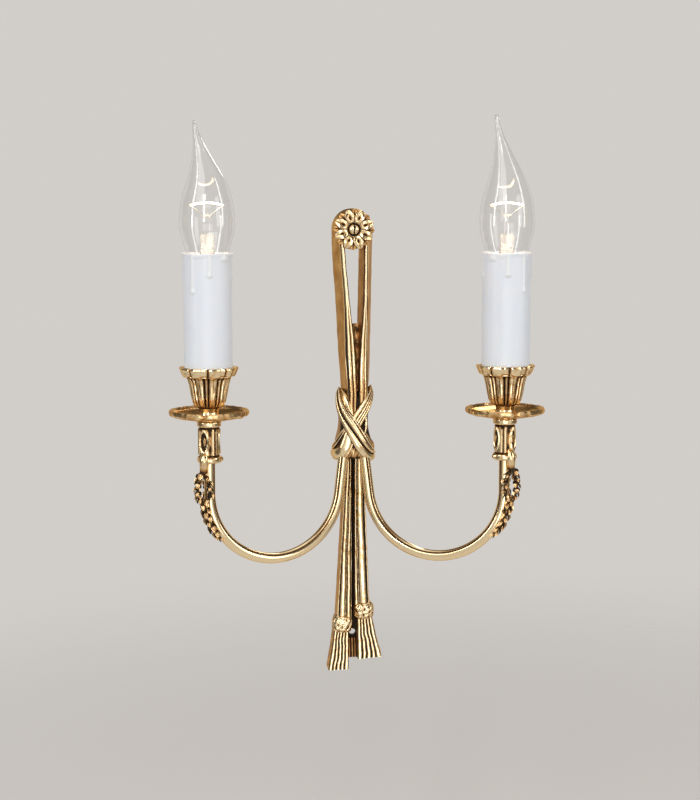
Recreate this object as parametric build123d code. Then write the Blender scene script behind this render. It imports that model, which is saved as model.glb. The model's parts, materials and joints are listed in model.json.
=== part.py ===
from build123d import *
import os
from math import atan2, cos, degrees, hypot, pi, radians, sin, tan

# A two-arm candle wall light in cast and turned brass, in millimetres.
# The wall is the plane y = 0 and the light faces -Y, with +X to the right and +Z up.
# The origin is on the wall, midway between the two fixing holes.

# Fits between pieces
SLIP = 0.05  # radial clearance of a piece that slides into another
LOOSE = 0.3  # gap beside pieces that turn or drop in

# Wall fixings: a blind peg hole behind the rosette and a screw hole between the tassels
FIXING_SPACING = 272.0
FIXING_HOLE_D = 4.5
PEG_HOLE_DEPTH = 9.0

# Loop of ribbon, cast on edge with its outer sides leaning in
RIBBON_DEPTH = 18.0
LOOP_HEAD_D = 27.2
STRAP_WALL_W = 8.8
STRAP_DRAFT = 4.6
STRAP_FOOT_DRAFT = 2.8
STRAP_EDGE_TOP = 3.0
STRAP_EDGE_LEFT = 6.0
STRAP_EDGE_RIGHT = 2.4
STRAP_FOOT_LEFT = 7.6
STRAP_FOOT_RIGHT = 11.6
STRAP_REEDS = 2
REED_DEPTH = 1.1
LOOP_OPENING_FOOT = 71.0
LOOP_WEB_DEPTH = 13.0

# Knot of two crossed bands over a hollow core
KNOT_TOP = 30.0
KNOT_WAIST = 6.0
KNOT_FOOT = -14.5
KNOT_TOP_W = 21.0
KNOT_WAIST_W = 20.0
KNOT_FOOT_W = 25.6
KNOT_DEPTH = 25.0
KNOT_CORNER_R = 6.5
BAND_W = 9.5
BAND_RUN_X = 24.0
BAND_RUN_Z = 34.0
FRONT_BAND_RISE = 3.2
BACK_BAND_RISE = 1.8
BAND_OVERHANG = 1.0
BAND_REEDS = 3
BAND_GROOVE_W = 0.9

# Wiring chamber in the back of the knot
CHAMBER_W = 16.0
CHAMBER_DEPTH = 22.0
CHAMBER_TOP = 27.0
CHAMBER_FLOOR = -2.0

# Tails of the ribbon below the knot
TAIL_W = 24.0
TAIL_DEPTH = 13.0
TAIL_DRAFT = 1.8
TAIL_GAP = 2.0
TAIL_REEDS = 3
TAIL_WEB_DEPTH = 4.0

# Tassels: a round knob and a ribbed skirt on each tail
KNOB_D = 14.0
KNOB_FRONT_D = 9.0
KNOB_DEPTH = 15.5
LEFT_KNOB_ABOVE_HOLE = 7.5
RIGHT_KNOB_ABOVE_HOLE = 16.5
KNOB_OFFSET = 7.2
SKIRT_DEPTH = 14.0
SKIRT_REEDS = 5
SKIRT_DRAFT = 0.6
SKIRT_TOP_W = 10.2
LEFT_SKIRT_FOOT_W = 14.5
RIGHT_SKIRT_FOOT_W = 17.0
LEFT_SKIRT_L = 31.5
RIGHT_SKIRT_L = 33.0
SKIRT_BESIDE_HOLE = 0.5

# Rosette and its screw
ROSETTE_D = 27.4
ROSETTE_PLATE_D = 17.0
ROSETTE_PLATE_T = 2.0
PETALS = 8
PETAL_W = 7.4
PETAL_HEEL = 3.4
BACK_PETAL_H = 1.6
FRONT_PETAL_H = 3.4
PETAL_CREST = 0.45
ROSETTE_SCREW_D = 4.0
ROSETTE_SCREW_GRIP = 7.0
ROSETTE_HEAD_D = 7.2
ROSETTE_HEAD_H = 2.6
ROSETTE_SEAT_T = 1.2
SLOT_W = 0.9
SLOT_DEPTH = 0.9

# Arms: round tube with a threaded end in the knot
ARM_D = 7.0
ARM_BORE = 4.2
ARM_THREAD_D = 6.0
ARM_ROOT_X = 6.5
ARM_ROOT_DEPTH = 20.0
ROOT_LEAN = 7.35
ARM_BEND = 46.0
ARM_LOW = -76.5
ARM_RECESS = 2.0
ARM_END_IN_SLEEVE = 14.0
LOCKNUT_D = 8.8
LOCKNUT_T = 2.5
THREAD_PAST_NUT = 1.5

# Candle places
CANDLE_X = 94.5
CANDLE_DEPTH = 55.0

# Sleeve with its leaf
SLEEVE_FOOT = -10.5
SLEEVE_L = 27.0
SLEEVE_D = 13.6
SLEEVE_RING_D = 15.4
SLEEVE_TOP_RING_H = 4.2
SLEEVE_FOOT_RING_H = 5.0
SLEEVE_SHOULDER = 4.5
LEAF_T = 5.0
LEAF_SPREAD = 7.2
LEAF_WIDEST = -25.0
LEAF_MID_ANGLE = 20.0
LEAF_MID_SPREAD = 4.2
LEAF_TIP_ANGLE = 40.0
LEAF_TIP_SPREAD = 0.9
LEAF_OPENING_W = 3.0
LEAF_OPENING_L = 15.0
LEAF_INNER_STRAND = 1.2

# Threaded rod through sleeve, pan, cup and lampholder
NIPPLE_D = 10.0
NIPPLE_BORE = 7.1
NIPPLE_L = 70.0

# Drip pan
PAN_D = 51.5
PAN_FLOOR_D = 19.0
PAN_T = 1.6
PAN_RISE = 5.2
PAN_RIM_W = 1.6

# Candle cup
CUP_NECK_D = 12.6
CUP_NECK_H = 7.0
CUP_BODY_H = 20.5
CUP_FOOT_D = 14.0
CUP_MID_D = 21.0
CUP_TOP_D = 25.4
CUP_FLUTES = 12
FLUTE_DEPTH = 0.9
CUP_LIP_D = 38.0
CUP_LIP_H = 5.0
CUP_LIP_EDGE = 3.4
CUP_SEAT_DEPTH = 1.4
CUP_FLOOR_H = 16.0
CUP_WELL_D = 16.4
CUP_NUT_FLATS = 13.0
CUP_NUT_T = 3.0

# Candle tube
CANDLE_D = 30.5
CANDLE_WALL = 1.0
CANDLE_L = 73.3
CANDLE_RIM_H = 2.0

# E14 lampholder
HOLDER_THREAD_L = 8.0
HOLDER_BOSS_D = 14.0
HOLDER_BOSS_H = 10.0
HOLDER_D = 24.0
HOLDER_WALL = 2.0
HOLDER_H = 50.0
PEDESTAL_H = 16.0
SHELL_BORE = 14.4
SHELL_T = 0.6
SHELL_H = 22.0
SHELL_FLOOR_HOLE = 8.0
CENTRE_CONTACT_D = 4.0
CENTRE_CONTACT_H = 3.7

# E14 lamp with a bent tip
LAMP_CONTACT_GAP = 0.1
LAMP_CONTACT_D = 4.6
LAMP_CONTACT_H = 1.2
INSULATOR_H = 2.6
CAP_D = 13.7
CAP_THREAD_L = 16.2
CAP_FLARE_D = 16.5
CAP_FLARE_H = 5.0
CAP_WALL = 0.3
NECK_D = 15.2
GLASS_T = 0.6
LAMP_D = 35.0
LAMP_BODY_H = 55.0
BELLY_UP = 36.0
SHOULDER_D = 30.2
LAMP_TUBE_GAP = 1.0
TIP_BEND = 7.4
LEFT_TIP_H = 43.0
RIGHT_TIP_H = 47.0
TIP_D = 2.2
# The drawn tip's course: share of its height, of the shoulder's width and of the bend
TIP_COURSE = [(0.0, 1.0, 0.0), (0.2, 0.70, 0.17), (0.38, 0.55, 0.27), (0.55, 0.34, 0.5), (0.78, 0.17, 0.8)]
STEM_D = 10.4
STEM_FOOT_T = 1.2
STEM_H = 28.0
PINCH_W = 6.0
PINCH_T = 2.4
LEAD_D = 0.6
FILAMENT_W = 19.6
FILAMENT_D = 0.9
FILAMENT_RISE = 45.5
FILAMENT_ARCH = 1.6

# Wires and their connection block
WIRE_D = 1.5
WIRE_SPREAD = 1.8
WIRE_IN_HOLDER = 8.0
WIRE_IN_POLE = 5.0
WIRE_PAST_ARM = 2.5
WIRE_BELOW_BLOCK = 3.5
BEND_SHARE = 0.45  # most of the shorter run that a wire's bend takes up
POLE_X = 4.4
POLE_W = 4.4
POLE_D = 5.6
POLE_H = 10.0
POLE_ENTRY_SPREAD = 1.0
BLOCK_W = 14.6
BLOCK_D = 11.0
BLOCK_H = 14.0
BLOCK_ABOVE_FLOOR = 13.0
BLOCK_WALL_FRONT = 1.4
CLAMP_SCREW_D = 2.6
CLAMP_SCREW_PITCH = 6.0
FIX_SCREW_D = 2.5
FIX_SCREW_HEAD_D = 3.6
FIX_SCREW_HEAD_H = 1.6
FIX_SCREW_GRIP = 2.0
EARTH_SCREW_D = 3.0
EARTH_SCREW_HEAD_D = 5.4
EARTH_SCREW_HEAD_H = 2.0
EARTH_SCREW_GRIP = 5.0
EARTH_DEPTH = 5.0
EARTH_TAG_W = 7.0
EARTH_TAG_L = 12.0
EARTH_TAG_T = 0.8

# Places that follow from the sizes above
HEAD_Z = FIXING_SPACING / 2
LOWER_HOLE_Z = -FIXING_SPACING / 2
ARM_TURN = atan2(CANDLE_DEPTH - ARM_ROOT_DEPTH, CANDLE_X - ARM_ROOT_X)
ARM_RUN = hypot(CANDLE_DEPTH - ARM_ROOT_DEPTH, CANDLE_X - ARM_ROOT_X)
ROOT_Z = KNOT_FOOT + ARM_RECESS
BEND_R = ARM_RUN - ARM_BEND
BEND_Z = ARM_LOW + ARM_BEND
ARM_LEAN = radians(ROOT_LEAN)
# The bend on the root's side touches the leaning root and the level of the arm's lowest point
ROOT_BEND = (BEND_R * cos(ARM_LEAN) - (ROOT_Z - ARM_LOW) * sin(ARM_LEAN)) / (1 - sin(ARM_LEAN))
LOCKNUT_SEAT = (CHAMBER_FLOOR - ROOT_Z) / cos(ARM_LEAN) - LOCKNUT_D / 2 * tan(ARM_LEAN) - SLIP
SPIGOT_L = LOCKNUT_SEAT + LOCKNUT_T + THREAD_PAST_NUT
SLEEVE_TOP = SLEEVE_FOOT + SLEEVE_L
NIPPLE_FOOT = SLEEVE_FOOT + SLEEVE_SHOULDER
NIPPLE_TOP = NIPPLE_FOOT + NIPPLE_L
PAN_FLOOR = SLEEVE_TOP + PAN_T
CUP_BODY_FOOT = PAN_FLOOR + CUP_NECK_H
CUP_BODY_TOP = CUP_BODY_FOOT + CUP_BODY_H
CUP_TOP = CUP_BODY_TOP + CUP_LIP_H
CUP_FLOOR = PAN_FLOOR + CUP_FLOOR_H
CANDLE_SEAT = CUP_TOP - CUP_SEAT_DEPTH
HOLDER_FOOT = NIPPLE_TOP - HOLDER_THREAD_L
BODY_FOOT = HOLDER_FOOT + HOLDER_BOSS_H
PEDESTAL_TOP = BODY_FOOT + PEDESTAL_H
LAMP_FOOT = PEDESTAL_TOP + CENTRE_CONTACT_H + LAMP_CONTACT_GAP
CAP_FOOT = LAMP_FOOT + LAMP_CONTACT_H + INSULATOR_H
NECK_FOOT = CAP_FOOT + CAP_THREAD_L
PINCH_TOP = NECK_FOOT + STEM_H
FILAMENT_Z = NECK_FOOT + FILAMENT_RISE
BLOCK_FOOT = CHAMBER_FLOOR + BLOCK_ABOVE_FLOOR
BLOCK_BACK = -(CHAMBER_DEPTH - BLOCK_D)
POLE_Y = -(CHAMBER_DEPTH - BLOCK_WALL_FRONT - POLE_D / 2)
POLE_FOOT = BLOCK_FOOT + (BLOCK_H - POLE_H) / 2

SIDES = {"left": -1, "right": 1}


def turned(points):
    """A solid of revolution about Z from a closed outline of (radius, height) points."""
    return revolve(Plane.XZ * make_face(Polyline(*points, close=True)), Axis.Z)


def ring(outer_d, inner_d, height, foot=0.0):
    """A plain ring standing on a level."""
    inner = inner_d / 2
    outer = outer_d / 2
    top = foot + height
    return turned([(inner, foot), (outer, foot), (outer, top), (inner, top)])


def stub(foot_d, top_d, height):
    """A cone cut off square, standing on its own plane."""
    return Cone(foot_d / 2, top_d / 2, height, align=(Align.CENTER, Align.CENTER, Align.MIN))


def upright(radius, height, below=False):
    """A cylinder that starts, or ends, on its own plane."""
    end = Align.MAX if below else Align.MIN
    return Cylinder(radius, height, align=(Align.CENTER, Align.CENTER, end))


def at_candle(side):
    """The place of a candle's upright axis."""
    return Pos(side * CANDLE_X, -CANDLE_DEPTH, 0)


def ribbed_face(level, wall, edge, depth, reeds):
    """Level section of a ribbon on the wall: leaning sides and a front edge of sharp reeds."""
    step = (edge[1] - edge[0]) / (2 * reeds)
    front = []
    for i in range(2 * reeds + 1):
        crest = i % 2
        front.append((edge[0] + step * i, -depth if crest else REED_DEPTH - depth))
    return Pos(0, 0, level) * make_face(Polyline((wall[0], 0), *front, (wall[1], 0), close=True))


def strap(side, foot, foot_edge):
    """One strap of the loop, from the head down into the knot."""
    head_wall = LOOP_HEAD_D / 2
    head_edge = head_wall - STRAP_DRAFT
    foot_front = foot - STRAP_FOOT_DRAFT
    head = sorted((side * head_wall, side * (head_wall - STRAP_WALL_W)))
    head_front = sorted((side * head_edge, side * (head_edge - STRAP_EDGE_TOP)))
    foot_wall = sorted((side * foot, side * (foot - STRAP_WALL_W)))
    foot_edges = sorted((side * foot_front, side * (foot_front - foot_edge)))
    foot_level = (KNOT_TOP + KNOT_WAIST) / 2
    top = ribbed_face(HEAD_Z, head, head_front, RIBBON_DEPTH, STRAP_REEDS)
    bottom = ribbed_face(foot_level, foot_wall, foot_edges, RIBBON_DEPTH, STRAP_REEDS)
    return loft([top, bottom], ruled=True)


def loop():
    """Head, two straps and the web that closes the loop below its opening."""
    head = Plane.XZ * Pos(0, HEAD_Z) * stub(LOOP_HEAD_D, LOOP_HEAD_D - 2 * STRAP_DRAFT, RIBBON_DEPTH)
    web_h = LOOP_OPENING_FOOT - KNOT_WAIST
    web_place = Pos(0, -LOOP_WEB_DEPTH / 2, LOOP_OPENING_FOOT - web_h / 2)
    web = web_place * Box(STRAP_WALL_W, LOOP_WEB_DEPTH, web_h)
    left = strap(-1, STRAP_FOOT_LEFT, STRAP_EDGE_LEFT)
    right = strap(1, STRAP_FOOT_RIGHT, STRAP_EDGE_RIGHT)
    return head + left + right + web


def knot_face(width, depth, level):
    """Level section of the knot: flat on the wall with two rounded front corners."""
    flat = Rectangle(width, depth, align=(Align.CENTER, Align.MAX))
    front = flat.vertices().group_by(Axis.Y)[0]
    return Pos(0, 0, level) * fillet(front, KNOT_CORNER_R)


def knot_prism(growth):
    """Upright envelope of the knot, grown outwards from its widest section."""
    face = knot_face(KNOT_FOOT_W + 2 * BAND_OVERHANG, KNOT_DEPTH + growth, KNOT_FOOT)
    return extrude(face, KNOT_TOP - KNOT_FOOT, dir=(0, 0, 1))


def slanted_strip(slant, across, width):
    """A strip run through the knot from front to back, square to the wall."""
    length = hypot(KNOT_FOOT_W, KNOT_TOP - KNOT_FOOT) + 2 * BAND_W
    place = Pos(0, (KNOT_TOP + KNOT_FOOT) / 2) * Rot(0, 0, slant) * Pos(0, across)
    return extrude(Plane.XZ * place * Rectangle(length, width), KNOT_DEPTH + 2 * FRONT_BAND_RISE)


def band(slant, rise):
    """One reeded band across the knot's front."""
    solid = slanted_strip(slant, 0, BAND_W) & knot_prism(rise)
    below = knot_prism(rise - REED_DEPTH)
    for i in range(1, BAND_REEDS):
        across = BAND_W * (i / BAND_REEDS - 0.5)
        solid -= slanted_strip(slant, across, BAND_GROOVE_W) - below
    return solid


def knot():
    """Hollow core with the two bands crossed over it."""
    core = loft(
        [
            knot_face(KNOT_FOOT_W, KNOT_DEPTH, KNOT_FOOT),
            knot_face(KNOT_WAIST_W, KNOT_DEPTH, KNOT_WAIST),
            knot_face(KNOT_TOP_W, KNOT_DEPTH, KNOT_TOP),
        ],
        ruled=True,
    )
    slant = degrees(atan2(BAND_RUN_Z, BAND_RUN_X))
    return core + band(slant, BACK_BAND_RISE) + band(-slant, FRONT_BAND_RISE)


def tail(side, knob_z):
    """One tail, from inside the knot down to its tassel's knob."""
    wall = sorted((side * TAIL_W / 2, side * TAIL_GAP / 2))
    edge = sorted((side * (TAIL_W / 2 - TAIL_DRAFT), side * TAIL_GAP / 2))
    top = ribbed_face(KNOT_FOOT, wall, edge, TAIL_DEPTH, TAIL_REEDS)
    bottom = ribbed_face(knob_z, wall, edge, TAIL_DEPTH, TAIL_REEDS)
    return loft([top, bottom], ruled=True)


def tassel(side, knob_z, skirt_l, foot_w):
    """A knob and the ribbed skirt that hangs from it, splayed away from the fixing hole."""
    knob = Plane.XZ * Pos(side * KNOB_OFFSET, knob_z) * stub(KNOB_D, KNOB_FRONT_D, KNOB_DEPTH)
    inner = FIXING_HOLE_D / 2 + SKIRT_BESIDE_HOLE
    top_wall = sorted((side * inner, side * (inner + SKIRT_TOP_W)))
    top_edge = sorted((side * inner, side * (inner + SKIRT_TOP_W - SKIRT_DRAFT)))
    foot_wall = sorted((side * inner, side * (inner + foot_w)))
    foot_edge = sorted((side * inner, side * (inner + foot_w - SKIRT_DRAFT)))
    top = ribbed_face(knob_z, top_wall, top_edge, SKIRT_DEPTH, SKIRT_REEDS)
    foot = ribbed_face(knob_z - skirt_l, foot_wall, foot_edge, SKIRT_DEPTH, SKIRT_REEDS)
    return knob + loft([top, foot], ruled=True)


def tails():
    """Both tails with their tassels, and the web that joins them on the wall."""
    left_z = LOWER_HOLE_Z + LEFT_KNOB_ABOVE_HOLE
    right_z = LOWER_HOLE_Z + RIGHT_KNOB_ABOVE_HOLE
    web_foot = min(left_z - LEFT_SKIRT_L, right_z - RIGHT_SKIRT_L) / 2 + LOWER_HOLE_Z / 2
    web_h = KNOT_FOOT - web_foot
    web_w = FIXING_HOLE_D + 2 * SKIRT_BESIDE_HOLE + SKIRT_TOP_W
    web = Pos(0, -TAIL_WEB_DEPTH / 2, web_foot + web_h / 2) * Box(web_w, TAIL_WEB_DEPTH, web_h)
    left = tail(-1, left_z) + tassel(-1, left_z, LEFT_SKIRT_L, LEFT_SKIRT_FOOT_W)
    right = tail(1, right_z) + tassel(1, right_z, RIGHT_SKIRT_L, RIGHT_SKIRT_FOOT_W)
    return left + right + web


def arm_point(side, along, level):
    """A point in an arm's upright plane, a distance out from its root."""
    out = ARM_ROOT_X + along * cos(ARM_TURN)
    forward = ARM_ROOT_DEPTH + along * sin(ARM_TURN)
    return Vector(side * out, -forward, level)


def root_line(side, up):
    """A plane square to the arm's leaning root, a distance up from its shoulder."""
    foot = arm_point(side, 0, ROOT_Z)
    top = arm_point(side, -sin(ARM_LEAN), ROOT_Z + cos(ARM_LEAN))
    direction = top - foot
    return Plane(origin=foot + direction * up, z_dir=direction)


def casting_holes():
    """What is cut from the casting: fixings, chamber, arm sockets and tapped holes."""
    chamber_h = CHAMBER_TOP - CHAMBER_FLOOR
    chamber = Box(CHAMBER_W, CHAMBER_DEPTH, chamber_h)
    holes = [Pos(0, -CHAMBER_DEPTH / 2, CHAMBER_FLOOR + chamber_h / 2) * chamber]
    holes.append(Plane.XZ * Pos(0, HEAD_Z) * upright(FIXING_HOLE_D / 2, PEG_HOLE_DEPTH))
    holes.append(Plane.XZ * Pos(0, LOWER_HOLE_Z) * upright(FIXING_HOLE_D / 2, SKIRT_DEPTH))
    tapped = upright(ROSETTE_SCREW_D / 2 + SLIP, ROSETTE_SCREW_GRIP + LOOSE, below=True)
    holes.append(Plane.XZ * Pos(0, HEAD_Z, RIBBON_DEPTH) * tapped)
    block_middle = BLOCK_FOOT + BLOCK_H / 2
    fixing = upright(FIX_SCREW_D / 2 + SLIP, FIX_SCREW_GRIP)
    holes.append(Plane.XZ * Pos(0, block_middle, CHAMBER_DEPTH) * fixing)
    earth = EARTH_SCREW_D / 2 + SLIP
    holes.append(Pos(0, -EARTH_DEPTH, CHAMBER_TOP) * upright(earth, EARTH_SCREW_GRIP + LOOSE))
    for side in SIDES.values():
        shoulder = root_line(side, 0)
        holes.append(shoulder * upright(ARM_THREAD_D / 2 + SLIP, SPIGOT_L))
        holes.append(shoulder * upright(ARM_D / 2 + SLIP, 3 * ARM_RECESS, below=True))
        holes.append(root_line(side, LOCKNUT_SEAT) * upright(LOCKNUT_D / 2 + SLIP, LOCKNUT_T))
    return holes


def ribbon_casting():
    """The whole casting on the wall."""
    return loop() + knot() + tails() - casting_holes()


def petal(turn, foot, height):
    """One pointed petal: a kite that narrows to a raised crest."""
    tip = ROSETTE_D / 2
    belly = (PETAL_HEEL + tip) / 2
    kite = [(PETAL_HEEL, 0), (belly, -PETAL_W / 2), (tip, 0), (belly, PETAL_W / 2)]
    crest = [(belly + (x - belly) * PETAL_CREST, y * PETAL_CREST) for x, y in kite]
    place = Plane.XZ * Pos(0, HEAD_Z, foot) * Rot(0, 0, turn)
    low = make_face(Polyline(*kite, close=True))
    high = Pos(0, 0, height) * make_face(Polyline(*crest, close=True))
    return place * loft([low, high], ruled=True)


def rosette():
    """A flower of two rings of petals on a round plate, bored for its screw."""
    step = 360 / PETALS
    place = Plane.XZ * Pos(0, HEAD_Z, RIBBON_DEPTH)
    head_foot = ROSETTE_PLATE_T + ROSETTE_SEAT_T
    flower = place * (upright(ROSETTE_PLATE_D / 2, ROSETTE_PLATE_T) + upright(ROSETTE_HEAD_D / 2, head_foot))
    for i in range(PETALS):
        flower += petal(step * i, RIBBON_DEPTH, BACK_PETAL_H)
        flower += petal(step * (i + 0.5), RIBBON_DEPTH + BACK_PETAL_H / 2, FRONT_PETAL_H)
    screw_h = ROSETTE_PLATE_T + FRONT_PETAL_H + BACK_PETAL_H
    bore = upright(ROSETTE_SCREW_D / 2 + SLIP, screw_h)
    well = Pos(0, 0, head_foot) * upright(ROSETTE_HEAD_D / 2 + LOOSE, screw_h)
    return flower - place * (bore + well)


def rosette_screw():
    """The slotted dome-headed screw that holds the rosette on the casting."""
    dome_r = (ROSETTE_HEAD_D**2 / 4 + ROSETTE_HEAD_H**2) / (2 * ROSETTE_HEAD_H)
    dome = Pos(0, 0, ROSETTE_HEAD_H - dome_r) * Sphere(dome_r) & upright(ROSETTE_HEAD_D, ROSETTE_HEAD_H)
    slot = Pos(0, 0, ROSETTE_HEAD_H) * Box(SLOT_W, ROSETTE_HEAD_D, 2 * SLOT_DEPTH)
    shank_l = ROSETTE_SCREW_GRIP + ROSETTE_PLATE_T + ROSETTE_SEAT_T
    shank = upright(ROSETTE_SCREW_D / 2, shank_l, below=True)
    place = Plane.XZ * Pos(0, HEAD_Z, RIBBON_DEPTH + ROSETTE_PLATE_T + ROSETTE_SEAT_T)
    return place * (dome + shank - slot)


def arm_bow(side, shift=Vector(0, 0, 0)):
    """Two arcs that meet at the arm's lowest point, from its leaning root to its upright end."""
    root_r = BEND_R - ROOT_BEND * cos(ARM_LEAN)
    start = arm_point(side, root_r, ARM_LOW + ROOT_BEND * (1 - sin(ARM_LEAN))) + shift
    low = arm_point(side, BEND_R, ARM_LOW) + shift
    end = arm_point(side, ARM_RUN, BEND_Z) + shift
    outward = arm_point(side, 1, 0) - arm_point(side, 0, 0)
    down = -root_line(side, 0).z_dir
    return [TangentArc(start, low, tangent=down).edge(), TangentArc(low, end, tangent=outward).edge()]


def arm_path(side):
    """Centre line of an arm: leaning root, bow and upright end."""
    bow = arm_bow(side)
    root = Line(arm_point(side, 0, ROOT_Z), bow[0] @ 0).edge()
    end = Line(bow[1] @ 1, arm_point(side, ARM_RUN, SLEEVE_FOOT + ARM_END_IN_SLEEVE)).edge()
    return Wire([root, *bow, end])


def arm(side):
    """A bent tube with a thinner threaded end above its shoulder."""
    shoulder = root_line(side, 0)
    section = shoulder * (Circle(ARM_D / 2) - Circle(ARM_BORE / 2))
    tube = sweep(section, path=arm_path(side))
    spigot = upright(ARM_THREAD_D / 2, SPIGOT_L) - upright(ARM_BORE / 2, SPIGOT_L)
    return tube + shoulder * spigot


def arm_locknut(side):
    """Round nut on the arm's threaded end, on the chamber's floor."""
    nut = upright(LOCKNUT_D / 2, LOCKNUT_T) - upright(ARM_THREAD_D / 2 + SLIP, LOCKNUT_T)
    return root_line(side, LOCKNUT_SEAT) * nut


def leaf(side):
    """The open leaf, a thick plate in the arm's plane, shaped round the tube and pierced."""
    surface = ARM_BEND + ARM_D / 2
    mid = radians(LEAF_MID_ANGLE)
    tip = radians(LEAF_TIP_ANGLE)
    start = (ARM_RUN + SLEEVE_D / 2, SLEEVE_FOOT + SLEEVE_FOOT_RING_H / 2)
    widest = (ARM_RUN + ARM_D / 2 + LEAF_SPREAD, LEAF_WIDEST)
    mid_r = surface + LEAF_MID_SPREAD
    tip_r = surface + LEAF_TIP_SPREAD
    middle = (BEND_R + mid_r * cos(mid), BEND_Z - mid_r * sin(mid))
    end = (BEND_R + tip_r * cos(tip), BEND_Z - tip_r * sin(tip))
    under = (BEND_R + ARM_BEND * cos(tip), BEND_Z - ARM_BEND * sin(tip))
    turn = (ARM_RUN, BEND_Z)
    half = (BEND_R + ARM_BEND * cos(tip / 2), BEND_Z - ARM_BEND * sin(tip / 2))
    back = (ARM_RUN, start[1])
    outline = [
        Spline(start, widest, middle, end).edge(),
        Line(end, under).edge(),
        ThreePointArc(under, half, turn).edge(),
        Line(turn, back).edge(),
        Line(back, start).edge(),
    ]
    slot_x = ARM_RUN + ARM_D / 2 + LEAF_INNER_STRAND + LEAF_OPENING_W / 2
    slot = Pos(slot_x, LEAF_WIDEST) * Rot(0, 0, 90) * SlotOverall(LEAF_OPENING_L, LEAF_OPENING_W)
    face = make_face(outline) - slot
    along = arm_point(side, 1, 0) - arm_point(side, 0, 0)
    place = Plane(origin=arm_point(side, 0, 0), x_dir=along, z_dir=along.cross(Vector(0, 0, 1)))
    return extrude(place * face, LEAF_T / 2, both=True)


def leaf_sleeve(side):
    """Cast sleeve with a ring at each end and the leaf grown from the lower one."""
    outer = SLEEVE_D / 2
    rim = SLEEVE_RING_D / 2
    sleeve = turned(
        [
            (0, SLEEVE_FOOT),
            (rim, SLEEVE_FOOT),
            (rim, SLEEVE_FOOT + SLEEVE_FOOT_RING_H),
            (outer, SLEEVE_FOOT + SLEEVE_FOOT_RING_H),
            (outer, SLEEVE_TOP - SLEEVE_TOP_RING_H),
            (rim, SLEEVE_TOP - SLEEVE_TOP_RING_H),
            (rim, SLEEVE_TOP),
            (0, SLEEVE_TOP),
        ]
    )
    well = Pos(0, 0, NIPPLE_FOOT) * upright(NIPPLE_D / 2 + SLIP, SLEEVE_TOP - NIPPLE_FOOT)
    tube = sweep(root_line(side, 0) * Circle(ARM_D / 2 + SLIP), path=arm_path(side))
    return at_candle(side) * sleeve + leaf(side) - at_candle(side) * well - tube


def drip_pan():
    """Dished pan with a square rim, clamped between sleeve and cup."""
    bore = NIPPLE_D / 2 + SLIP
    floor = PAN_FLOOR_D / 2
    rim = PAN_D / 2
    return turned(
        [
            (bore, SLEEVE_TOP),
            (floor, SLEEVE_TOP),
            (rim, SLEEVE_TOP + PAN_RISE - PAN_T),
            (rim, PAN_FLOOR + PAN_RISE),
            (rim - PAN_RIM_W, PAN_FLOOR + PAN_RISE),
            (rim - 2 * PAN_RIM_W, PAN_FLOOR + PAN_RISE - PAN_T),
            (floor, PAN_FLOOR),
            (bore, PAN_FLOOR),
        ]
    )


def fluted_face(diameter, level):
    """Level section of the cup's body: a star with one valley for each flute."""
    points = []
    for i in range(2 * CUP_FLUTES):
        radius = diameter / 2 - (FLUTE_DEPTH if i % 2 else 0)
        angle = pi * i / CUP_FLUTES
        points.append((radius * cos(angle), radius * sin(angle)))
    return Pos(0, 0, level) * make_face(Polyline(*points, close=True))


def candle_cup():
    """Fluted cup on a neck, with a wide lip that the candle tube stands in."""
    middle = (CUP_BODY_FOOT + CUP_BODY_TOP) / 2
    body = loft(
        [
            fluted_face(CUP_FOOT_D, CUP_BODY_FOOT),
            fluted_face(CUP_MID_D, middle),
            fluted_face(CUP_TOP_D, CUP_BODY_TOP),
        ],
        ruled=True,
    )
    neck = Pos(0, 0, PAN_FLOOR) * upright(CUP_NECK_D / 2, CUP_NECK_H)
    inner_lip = CUP_TOP_D / 2 - FLUTE_DEPTH
    seat_r = CANDLE_D / 2 + LOOSE
    lip = turned(
        [
            (0, CUP_BODY_TOP),
            (inner_lip, CUP_BODY_TOP),
            (CUP_LIP_D / 2, CUP_TOP - CUP_LIP_EDGE),
            (CUP_LIP_D / 2, CUP_TOP),
            (seat_r, CUP_TOP),
            (seat_r, CANDLE_SEAT),
            (0, CANDLE_SEAT),
        ]
    )
    well = Pos(0, 0, CUP_FLOOR) * upright(CUP_WELL_D / 2, CUP_TOP - CUP_FLOOR)
    bore = Pos(0, 0, PAN_FLOOR) * upright(NIPPLE_D / 2 + SLIP, CUP_TOP - PAN_FLOOR)
    return neck + body + lip - well - bore


def cup_nut():
    """Hexagon nut on the threaded rod, on the cup's floor."""
    hexagon = RegularPolygon(CUP_NUT_FLATS / 2, 6, major_radius=False) - Circle(NIPPLE_D / 2 + SLIP)
    return extrude(Pos(0, 0, CUP_FLOOR) * hexagon, CUP_NUT_T)


def candle_tube():
    """White candle tube with a slightly thicker rim of wax at its top."""
    inner = CANDLE_D / 2 - CANDLE_WALL
    top = CANDLE_SEAT + CANDLE_L
    rim = CANDLE_D / 2 + CANDLE_WALL / 2
    return turned(
        [
            (inner, CANDLE_SEAT),
            (CANDLE_D / 2, CANDLE_SEAT),
            (CANDLE_D / 2, top - 2 * CANDLE_RIM_H),
            (rim, top - CANDLE_RIM_H),
            (rim, top),
            (inner, top),
        ]
    )


def wire_offset(side, front):
    """Half the spread of the two wires, square to the arm's plane."""
    square = Vector(side * sin(ARM_TURN), cos(ARM_TURN), 0)
    return square * (WIRE_SPREAD / 2 * (-1 if front else 1))


def pole_entry(side, front):
    """Where an arm's wire enters a pole: front wires share the left pole, rear ones the right."""
    pole = SIDES["left"] if front else SIDES["right"]
    return pole * (POLE_X + (POLE_ENTRY_SPREAD if pole == side else -POLE_ENTRY_SPREAD))


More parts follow.
